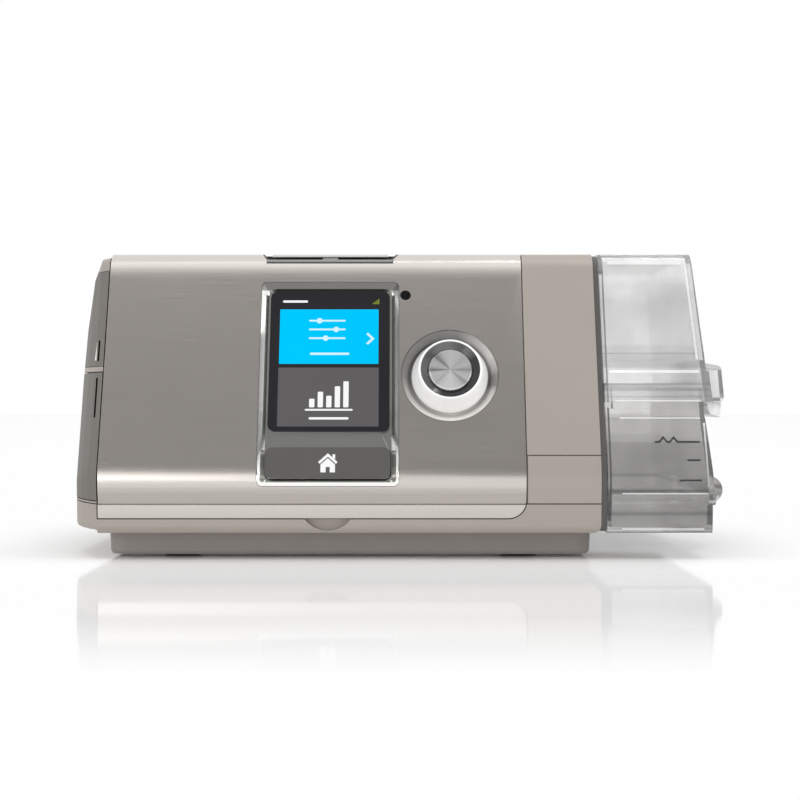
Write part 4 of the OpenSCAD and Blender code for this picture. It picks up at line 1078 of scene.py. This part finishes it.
@dataclass
class Housing:
    """The outer shells, the plinth, the side covers and the back. Sizes are in millimetres."""

    edge_mm: float = 0.35
    part_edge_mm: float = 0.25
    socket_edge_mm: float = 0.2
    screw_edge_mm: float = 0.15
    foot_edge_mm: float = 0.3
    filter_edge_mm: float = 0.4
    # The painted highlight strip on the upper left cover: its line, width, sink and rise.
    slot_highlight_line: tuple[Pair, Pair] = ((-116.75, 74.3), (-116.1, 81.9))
    slot_highlight_w: float = 0.75
    slot_highlight_sunk: float = 0.05
    slot_highlight_proud: float = 0.06

    def build(self) -> None:
        """Dresses the outer pieces."""
        for node in ("upper_housing", "lower_housing", "outlet_surround", "label_strip"):
            dress(node, Finish.HOUSING, self.edge_mm)
        dress("plinth", Finish.DARK, self.edge_mm)
        dress("rubber_feet", Finish.RUBBER, self.foot_edge_mm)
        dress("housing_screws", Finish.METAL, self.screw_edge_mm)
        dress("adapter_cover", Finish.COVER)
        dress("sd_door", Finish.COVER)
        dress("filter_door", Finish.COVER, self.part_edge_mm)
        dress("retention_clip", Finish.COVER, self.part_edge_mm)
        dress("air_outlet", Finish.INNER, self.part_edge_mm)
        dress("dc_inlet", Finish.BLACK, self.socket_edge_mm)
        dress("dc_pin", Finish.BRASS)
        dress("air_filter", Finish.FILTER, self.filter_edge_mm)
        self.slot_highlight()

    def slot_highlight(self) -> None:
        """Adds a small white strip at the foot of the upper left cover: a painted highlight on the
        edge of its slot.
        """
        line = stroke(self.slot_highlight_line, self.slot_highlight_w)
        slot_highlight = Relief("cover_slot_highlight")
        slot_highlight.prism(line, -self.slot_highlight_sunk, self.slot_highlight_proud, wall_of("adapter_cover"))
        slot_highlight.finish(Finish.CATCH, "main_unit", "silver_plastic")


@dataclass
class FrontPanel:
    """The brushed fascia with its start bar and light sensor. Sizes are in millimetres."""

    edge_mm: float = 0.3
    trim_edge_mm: float = 0.2

    def build(self) -> None:
        """Dresses the front pieces."""
        dress("front_fascia", Finish.FASCIA, self.edge_mm)
        dress("sensor_window", Finish.GLOSS_BLACK, self.trim_edge_mm)
        dress("start_trim", Finish.TRIM, self.trim_edge_mm)
        dress("start_button", Finish.BAR, self.edge_mm)


# Outlines of the house on the home key, in millimetres round its middle: roof, walls, chimney.
HOUSE = (
    ((-3.6, 0.3), (0.0, 3.7), (3.6, 0.3), (3.0, -0.4), (0.0, 2.4), (-3.0, -0.4)),
    (
        (-2.7, -0.7),
        (0.0, 1.8),
        (2.7, -0.7),
        (2.7, -3.7),
        (0.75, -3.7),
        (0.75, -1.6),
        (-0.75, -1.6),
        (-0.75, -3.7),
        (-2.7, -3.7),
    ),
    ((1.7, 3.3), (2.7, 3.3), (2.7, 1.3), (1.7, 2.2)),
)


@dataclass
class Screen:
    """The display with its bezel and home key.

    Sizes are in millimetres, and places are across and up from the middle of the glass.
    """

    bezel_edge_mm: float = 0.3
    lens_edge_mm: float = 0.25
    key_edge_mm: float = 0.4
    lens_t: float = 1.1
    tile_x: float = -0.3
    tile_w: float = 37.7
    upper_z: float = 9.7
    upper_h: float = 22.4
    lower_z: float = -14.8
    lower_h: float = 23.6
    corner_r: float = 0.15
    slider_x: float = -1.0
    slider_w: float = 14.0
    slider_rows: tuple[Pair, ...] = ((16.2, -3.0), (12.6, 3.4), (9.0, -0.6))
    knob_w: float = 2.2
    arrow: tuple[Pair, ...] = ((14.2, 11.0), (16.4, 8.8), (14.2, 6.6))
    thin: float = 0.7
    thick: float = 0.9
    caption_w: float = 15.0
    header: Pair = (-13.4, 24.2)
    header_w: float = 9.6
    base_w: float = 18.0
    bar_heights: tuple[float, ...] = (3.4, 6.2, 4.6, 8.4, 10.4)
    bar_w: float = 2.0
    bar_r: float = 0.3
    bar_pitch: float = 3.2
    bar_foot: float = -19.0
    wider: float = 0.3
    ink: float = 0.05
    sunk: float = 0.02
    key_sunk: float = 0.03
    key_flat: float = 0.05

    def build(self) -> None:
        """Dresses the display and lays its picture on the glass."""
        dress("screen_bezel", Finish.BEZEL, self.bezel_edge_mm)
        dress("screen_lens", Finish.GLASS, self.lens_edge_mm)
        dress("lcd_module", Finish.TILE_CYAN)
        dress("home_button", Finish.KEY, self.key_edge_mm)
        self.picture()
        self.home_mark()

    def lay(self, name: str, outlines: Iterable[Outline], layers: int, finish: Finish) -> None:
        """Lays flat shapes on the glass.

        Args:
            name: Name of the piece.
            outlines: The shapes.
            layers: Thickness of the shapes, in layers of ink.
            finish: Their finish.
        """
        plane = plane_over("screen_lens", self.lens_t)
        relief = Relief(name)
        for outline in outlines:
            relief.prism(outline, -self.sunk, layers * self.ink, plane.at)
        piece = relief.finish(finish, "main_unit", "lit_screen")
        piece.visible_glossy = False

    def picture(self) -> None:
        """Adds the header, the two tiles and their plain marks."""
        upper, lower = (self.tile_x, self.upper_z), (self.tile_x, self.lower_z)
        upper_tile = rounded_box(upper, self.tile_w, self.upper_h, self.corner_r, 1)
        lower_w = self.tile_w + self.wider
        lower_tile = rounded_box(lower, lower_w, self.lower_h, self.corner_r, 1)
        self.lay("tile_upper", [upper_tile], 1, Finish.TILE_CYAN)
        self.lay("tile_lower", [lower_tile], 1, Finish.TILE_GREY)
        self.lay("tile_upper_marks", self.sliders(), 2, Finish.MARK_PALE)
        self.lay("tile_lower_marks", self.chart(), 2, Finish.MARK_WHITE)
        header = capsule(self.header, self.header_w, self.thick)
        self.lay("header_mark", [header], 1, Finish.MARK_WHITE)
        self.lay("signal_mark", self.signal(), 1, Finish.MARK_LIME)

    def sliders(self) -> list[Outline]:
        """Draws the marks of the upper tile.

        Returns:
            Three sliders with their knobs, an arrow and a caption bar.
        """
        outlines = []
        for row, knob in self.slider_rows:
            outlines.append(capsule((self.slider_x, row), self.slider_w, self.thin))
            outlines.append(capsule((knob + self.slider_x, row), self.knob_w, self.knob_w, 5))
        outlines.append(stroke(self.arrow, self.thick))
        outlines.append(capsule((0.0, 2.6), self.caption_w, self.thick))
        return outlines

    def chart(self) -> list[Outline]:
        """Draws the marks of the lower tile.

        Returns:
            Five bars over their base line, and a caption bar.
        """
        outlines = []
        middle_bar = len(self.bar_heights) // 2
        for number, height in enumerate(self.bar_heights):
            middle = (self.bar_pitch * (number - middle_bar), self.bar_foot + height / 2)
            outlines.append(rounded_box(middle, self.bar_w, height, self.bar_r, 2))
        outlines.append(capsule((0.0, -20.0), self.base_w, self.thin))
        outlines.append(capsule((0.0, -23.4), self.caption_w, self.thick))
        return outlines

    @staticmethod
    def signal() -> list[Outline]:
        """Returns the four rising bars of the signal mark."""
        return [
            rounded_box((16.6 + 0.65 * n, 23.4 + 0.25 * n), 0.45, 0.6 + 0.5 * n, 0.1, 1)
            for n in range(4)
        ]

    def home_mark(self) -> None:
        """Adds the plain house on the home key."""
        face = self.key_face()
        house = Relief("home_mark")
        for outline in HOUSE:
            house.prism(outline, -self.key_sunk, self.ink, face.at)
        house.finish(Finish.MARK_WHITE, "home_key", "lit_screen")

    def key_face(self) -> Tilted:
        """Finds the front plane of the home key.

        Returns:
            The plane, with its origin in the middle of the key.
        """
        corners = [corner.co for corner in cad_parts["home_button"].data.vertices]
        top = max(corner.dot(FACE) for corner in corners)
        ahead = [corner for corner in corners if corner.dot(FACE) > top - self.key_flat * MM]
        up = [corner.dot(RISE) for corner in ahead]
        across = [corner.x for corner in ahead]
        middle = (min(across) + max(across)) / 2 * ACROSS + (min(up) + max(up)) / 2 * RISE
        return Tilted(middle + top * FACE)


@dataclass
class Dial:
    """The push dial and its seat. Sizes are in millimetres."""

    seat_edge_mm: float = 0.2
    knob_edge_mm: float = 0.12
    cap_edge_mm: float = 0.08
    encoder_edge_mm: float = 0.2

    def build(self) -> None:
        """Dresses the dial."""
        dress("dial_seat", Finish.SEAT, self.seat_edge_mm)
        dress("dial_knob", Finish.SILVER, self.knob_edge_mm)
        dress("dial_insert", Finish.INSERT)
        dress("dial_cap", Finish.CAP, self.cap_edge_mm)
        dress("encoder_shaft", Finish.METAL)
        dress("dial_plunger", Finish.INNER)
        dress("dial_encoder", Finish.BLACK, self.encoder_edge_mm)


# The tub's fill line with its wave and its two lower lines, as x and z in millimetres.
FILL_MARKS = (
    (
        (94.4, 43.6),
        (96.2, 43.6),
        (97.6, 45.3),
        (99.0, 43.6),
        (100.1, 43.6),
        (101.5, 45.3),
        (102.9, 43.6),
        (111.1, 43.6),
    ),
    ((106.2, 36.9), (111.0, 36.9)),
    ((103.3, 29.5), (111.2, 29.5)),
)
# Painted highlights: fine white strips on the tub's front that stand in for the light on its edges.
# Each row gives the node, both ends and the width.
HIGHLIGHT_STRIPS = (
    ("tub_lid", (80.0, 112.4), (108.6, 112.4), 1.5),
    ("tub_lid", (78.6, 69.9), (112.4, 69.9), 1.0),
    ("tub_lid", (80.0, 58.9), (112.4, 58.9), 0.4),
    ("tub_base", (82.0, 52.4), (112.0, 52.4), 0.45),
    ("tub_base", (82.0, 24.6), (113.6, 24.6), 0.5),
    ("tub_base", (82.0, 11.4), (112.4, 11.4), 0.5),
    ("tub_lid", (109.9, 111.5), (112.2, 74.5), 0.9),
    ("tub_base", (113.2, 50.6), (113.9, 27.4), 0.7),
)
# A light grey strip along the lid's right edge: painted light that stands in for that edge seen
# end-on.
RIM_HIGHLIGHT_STRIPS = (("tub_lid", (111.25, 111.9), (113.7, 74.2), 1.5),)


@dataclass
class WaterTub:
    """The clear tub with its fill marks and its painted highlight strips. Sizes are in millimetres.
    """

    edge_mm: float = 0.25
    plate_edge_mm: float = 0.1
    mark_w: float = 0.6
    sunk: float = 0.03
    proud: float = 0.08

    def build(self) -> None:
        """Dresses the tub and adds its fill marks and its painted highlight strips."""
        dress("tub_lid", Finish.CLEAR_LID, self.edge_mm)
        dress("tub_base", Finish.CLEAR_BASE, self.edge_mm)
        dress("tub_latch", Finish.CLEAR_LATCH, self.edge_mm)
        dress("tub_seal", Finish.SILICONE)
        dress("tub_plate", Finish.METAL, self.plate_edge_mm)
        marks = Relief("fill_marks")
        for points in FILL_MARKS:
            marks.prism(stroke(points, self.mark_w), -self.sunk, self.proud, wall_of("tub_base"))
        marks.finish(Finish.PRINT, "water_tub", "black_plastic")
        # Painted highlight strips on the tub's front.
        self.add_highlight_strips("tub_highlight_strips", HIGHLIGHT_STRIPS, Finish.CLEAR_EDGE)
        self.add_highlight_strips("tub_rim_highlight_strip", RIM_HIGHLIGHT_STRIPS, Finish.CLEAR_RIM)

    def add_highlight_strips(
        self, name: str, rows: Iterable[tuple[str, Pair, Pair, float]], finish: Finish
    ) -> None:
        """Adds fine strips on the tub's front that are painted highlights along its edges.

        Args:
            name: Name of the piece.
            rows: Each strip's node, both its ends and its width.
            finish: Finish of the strips.
        """
        relief = Relief(name)
        for node, start, end, width in rows:
            relief.prism(stroke([start, end], width), -self.sunk, self.proud, wall_of(node))
        relief.finish(finish, "water_tub", "clear_plastic")


@dataclass
class Inside:
    """What lies within the housing: blower, ducts, boards, sockets and the docking bay.

    Sizes are in millimetres.
    """

    plastic_edge_mm: float = 0.15
    metal_edge_mm: float = 0.1
    foam_edge_mm: float = 0.4
    liner_edge_mm: float = 0.3

    def build(self) -> None:
        """Dresses the inner pieces."""
        for node in ("display_board", "button_board", "main_board", "sd_board"):
            dress(node, Finish.GREEN)
        for node in ("volute_base", "volute_cover", "delivery_duct", "outlet_duct", "chassis"):
            dress(node, Finish.INNER, self.plastic_edge_mm)
        for node in ("flow_sensor", "adapter_socket", "sd_card"):
            dress(node, Finish.BLACK, self.plastic_edge_mm)
        for node in ("tact_switches", "sd_socket", "blower_motor", "motor_shaft", "heater_plate"):
            dress(node, Finish.METAL, self.metal_edge_mm)
        for node in ("blower_mount", "docking_seal", "heater_pad"):
            dress(node, Finish.SILICONE)
        dress("inlet_muffler", Finish.FOAM, self.foam_edge_mm)
        dress("impeller", Finish.ROTOR)
        dress("bay_liner", Finish.LINER, self.liner_edge_mm)


def turn_to(target: Point, place: Point) -> Euler:
    """Returns the turn that points a lamp or a card at a target."""
    return (Vector(target) - Vector(place)).to_track_quat("-Z", "Y").to_euler()


def panel(name: str, place: Point, size: Pair, material: bpy.types.Material) -> bpy.types.Object:
    """Adds one flat face of the studio.

    Args:
        name: Name of the face.
        place: Where its middle is.
        size: Its length along X and Y before it is turned.
        material: Its material.

    Returns:
        The new object.
    """
    mesh = bmesh.new()
    half_x, half_y = size[0] / 2, size[1] / 2
    signs = ((-1, -1), (1, -1), (1, 1), (-1, 1))
    mesh.faces.new([mesh.verts.new((x * half_x, y * half_y, 0.0)) for x, y in signs])
    data = bpy.data.meshes.new(name)
    mesh.to_mesh(data)
    mesh.free()
    data.materials.append(material)
    face = bpy.data.objects.new(name, data)
    face.location = place
    bpy.context.scene.collection.objects.link(face)
    return face


@dataclass(frozen=True)
class Card:
    """A grey card with soft edges that only shows in reflections. Sizes are in metres.

    A fade is where an edge falls off and how softly, as parts of the half width or height.
    """

    name: str
    place: Point
    target: Point
    size: Pair
    level: float
    colour: Colour = (1.0, 0.985, 0.96)
    fade_x: Pair = (0.8, 0.4)
    fade_y: Pair = (0.92, 0.16)

    def build(self) -> None:
        """Hangs the card."""
        shader = Shader(self.name)
        x, y, _ = shader.axes()
        half_x, half_y = self.size[0] / 2, self.size[1] / 2
        across = abs(x).below(*(half_x * part for part in self.fade_x))
        along = abs(y).below(*(half_y * part for part in self.fade_y))
        clear = shader.add("ShaderNodeBsdfTransparent")
        grey = shader.shine(self.colour, self.level)
        shader.finish(shader.blend(across * along, clear, grey))
        card = panel(self.name, self.place, self.size, shader.material)
        card.rotation_euler = turn_to(self.target, self.place)
        for ray in ("camera", "diffuse", "transmission", "volume_scatter", "shadow"):
            setattr(card, f"visible_{ray}", False)


@dataclass(frozen=True)
class Lamp:
    """A soft lamp that points at the machine. Sizes are in metres."""

    name: str
    place: Point
    size: Pair
    watts: float
    reflected: bool = True
    target: Point = (0.0, 0.0, 0.05)

    def build(self) -> None:
        """Hangs the lamp."""
        data = bpy.data.lights.new(self.name, "AREA")
        data.shape = "RECTANGLE"
        data.size, data.size_y = self.size
        data.energy = self.watts
        lamp = bpy.data.objects.new(self.name, data)
        lamp.location = self.place
        lamp.rotation_euler = turn_to(self.target, self.place)
        lamp.visible_glossy = self.reflected
        bpy.context.scene.collection.objects.link(lamp)


LIGHTS = (
    Card("front_card", (0.0, -1.29, 0.75), (0.0, -0.07, 0.07), (3.2, 1.3), 0.176),
    Card("left_card", (-1.4, 0.3, 0.5), (0.0, -0.05, 0.07), (1.8, 1.1), 0.3),
    Lamp("key_top", (0.1, -0.2, 1.4), (1.8, 1.8), 10.0, reflected=False),
    Lamp("strip_top", (0.2, -0.3, 1.3), (1.6, 0.04), 1.7),
    Lamp("fill_right", (1.3, -0.4, 0.4), (0.5, 0.5), 4.0),
    Lamp("fill_left", (-1.3, -0.4, 0.5), (0.5, 0.5), 2.5),
    Lamp("fill_low", (-0.6, -1.4, 0.2), (0.9, 0.9), 4.0),
)


@dataclass
class Studio:
    """The camera, the pale floor, the world and the lights. Sizes are in metres.

    A pair that bounds a zone of the floor is its limit and the width of its soft edge.
    """

    eye: Point = (-0.0003, -0.675, 0.0592)
    lens_mm: float = 73.2
    sensor_mm: float = 36.0
    clip: Pair = (0.01, 60.0)
    floor_m: float = 12.0
    half_x: float = 0.125
    half_y: float = 0.07
    shadow: Pair = (0.035, 0.06)
    mirror: Pair = (-0.275, 0.13)
    mirror_share: float = 0.33
    mirror_colour: Colour = (0.97, 0.97, 0.97)
    mirror_roughness: float = 0.06
    matt_colour: Colour = (0.94, 0.94, 0.94)
    matt_grain_mm: float = 40.0
    matt_contrast: float = 0.01
    # The zone where metal sees a painted shadow on the floor, with its colour and level.
    painted_shadow_zone: Pair = (-0.14, 0.03)
    painted_shadow_colour: Colour = (1.0, 0.98, 0.96)
    painted_shadow_level: float = 0.65
    world_level: float = 0.6

    def build(self) -> None:
        """Sets up the whole studio."""
        self.camera()
        self.floor()
        self.world()
        for light in LIGHTS:
            light.build()

    def camera(self) -> None:
        """Adds the level camera of the photograph's view."""
        data = bpy.data.cameras.new("view")
        data.sensor_fit = "HORIZONTAL"
        data.sensor_width = self.sensor_mm
        data.lens = self.lens_mm
        data.clip_start, data.clip_end = self.clip
        camera = bpy.data.objects.new("view", data)
        camera.location = self.eye
        camera.rotation_euler = (math.radians(90), 0, 0)
        bpy.context.scene.collection.objects.link(camera)
        bpy.context.scene.camera = camera

    def floor(self) -> None:
        """Adds the white floor: it takes the shadow close to the machine and mirrors it in front,
        and metal sees a painted shadow on it in front of the machine.
        """
        shader = Shader("floor_white")
        x, y, _ = shader.axes()
        aside = x.math("MAXIMUM", abs(x) - self.half_x, 0.0)
        ahead = y.math("MAXIMUM", abs(y) - self.half_y, 0.0)
        gap = (aside * aside + ahead * ahead) ** 0.5
        grain = shader.noise(self.matt_grain_mm)
        pale = shader.tint(self.matt_colour, 1 + grain.swing(self.matt_contrast))
        shadowed = shader.add("ShaderNodeBsdfDiffuse", None, {"Color": pale})
        polish = {"Color": self.mirror_colour, "Roughness": self.mirror_roughness}
        mirror = shader.add("ShaderNodeBsdfGlossy", None, polish)
        white = shader.shine(WHITE, 1.0)
        plain = shader.blend(gap.below(*self.shadow), white, shadowed)
        seen = shader.blend(self.mirror_share * (1 - y.below(*self.mirror)), plain, mirror)
        # Painted shadow: metal sees the floor dimmer close in front of the machine, standing in for
        # its shadow there.
        dim = shader.shine(self.painted_shadow_colour, self.painted_shadow_level)
        reflected = shader.blend(1 - y.below(*self.painted_shadow_zone), white, dim)
        shader.finish(shader.blend(shader.ray("Glossy"), seen, reflected))
        panel("floor", (0.0, 0.0, 0.0), (self.floor_m, self.floor_m), shader.material)

    def world(self) -> None:
        """Lights the object evenly, and shows white to the camera, metal and glass."""
        world = bpy.data.worlds.new("studio")
        bpy.context.scene.world = world
        shader = Shader("studio", world)
        dim, full = (
            shader.add("ShaderNodeBackground", None, {"Color": WHITE, "Strength": level})
            for level in (self.world_level, 1.0)
        )
        seen = shader.ray("Camera", "Glossy", "Transmission")
        shader.finish(shader.blend(seen, dim, full), "ShaderNodeOutputWorld")


def main() -> None:
    """Builds the studio and every part of the machine in order."""
    logging.basicConfig(level=logging.INFO, format="%(name)s: %(message)s")
    scene = bpy.context.scene
    scene.view_settings.view_transform = "Standard"
    for part in (Studio(), Housing(), FrontPanel(), Screen(), Dial(), WaterTub(), Inside()):
        part.build()
        log.info("finished %s", type(part).__name__)


if __name__ == "__main__":
    main()
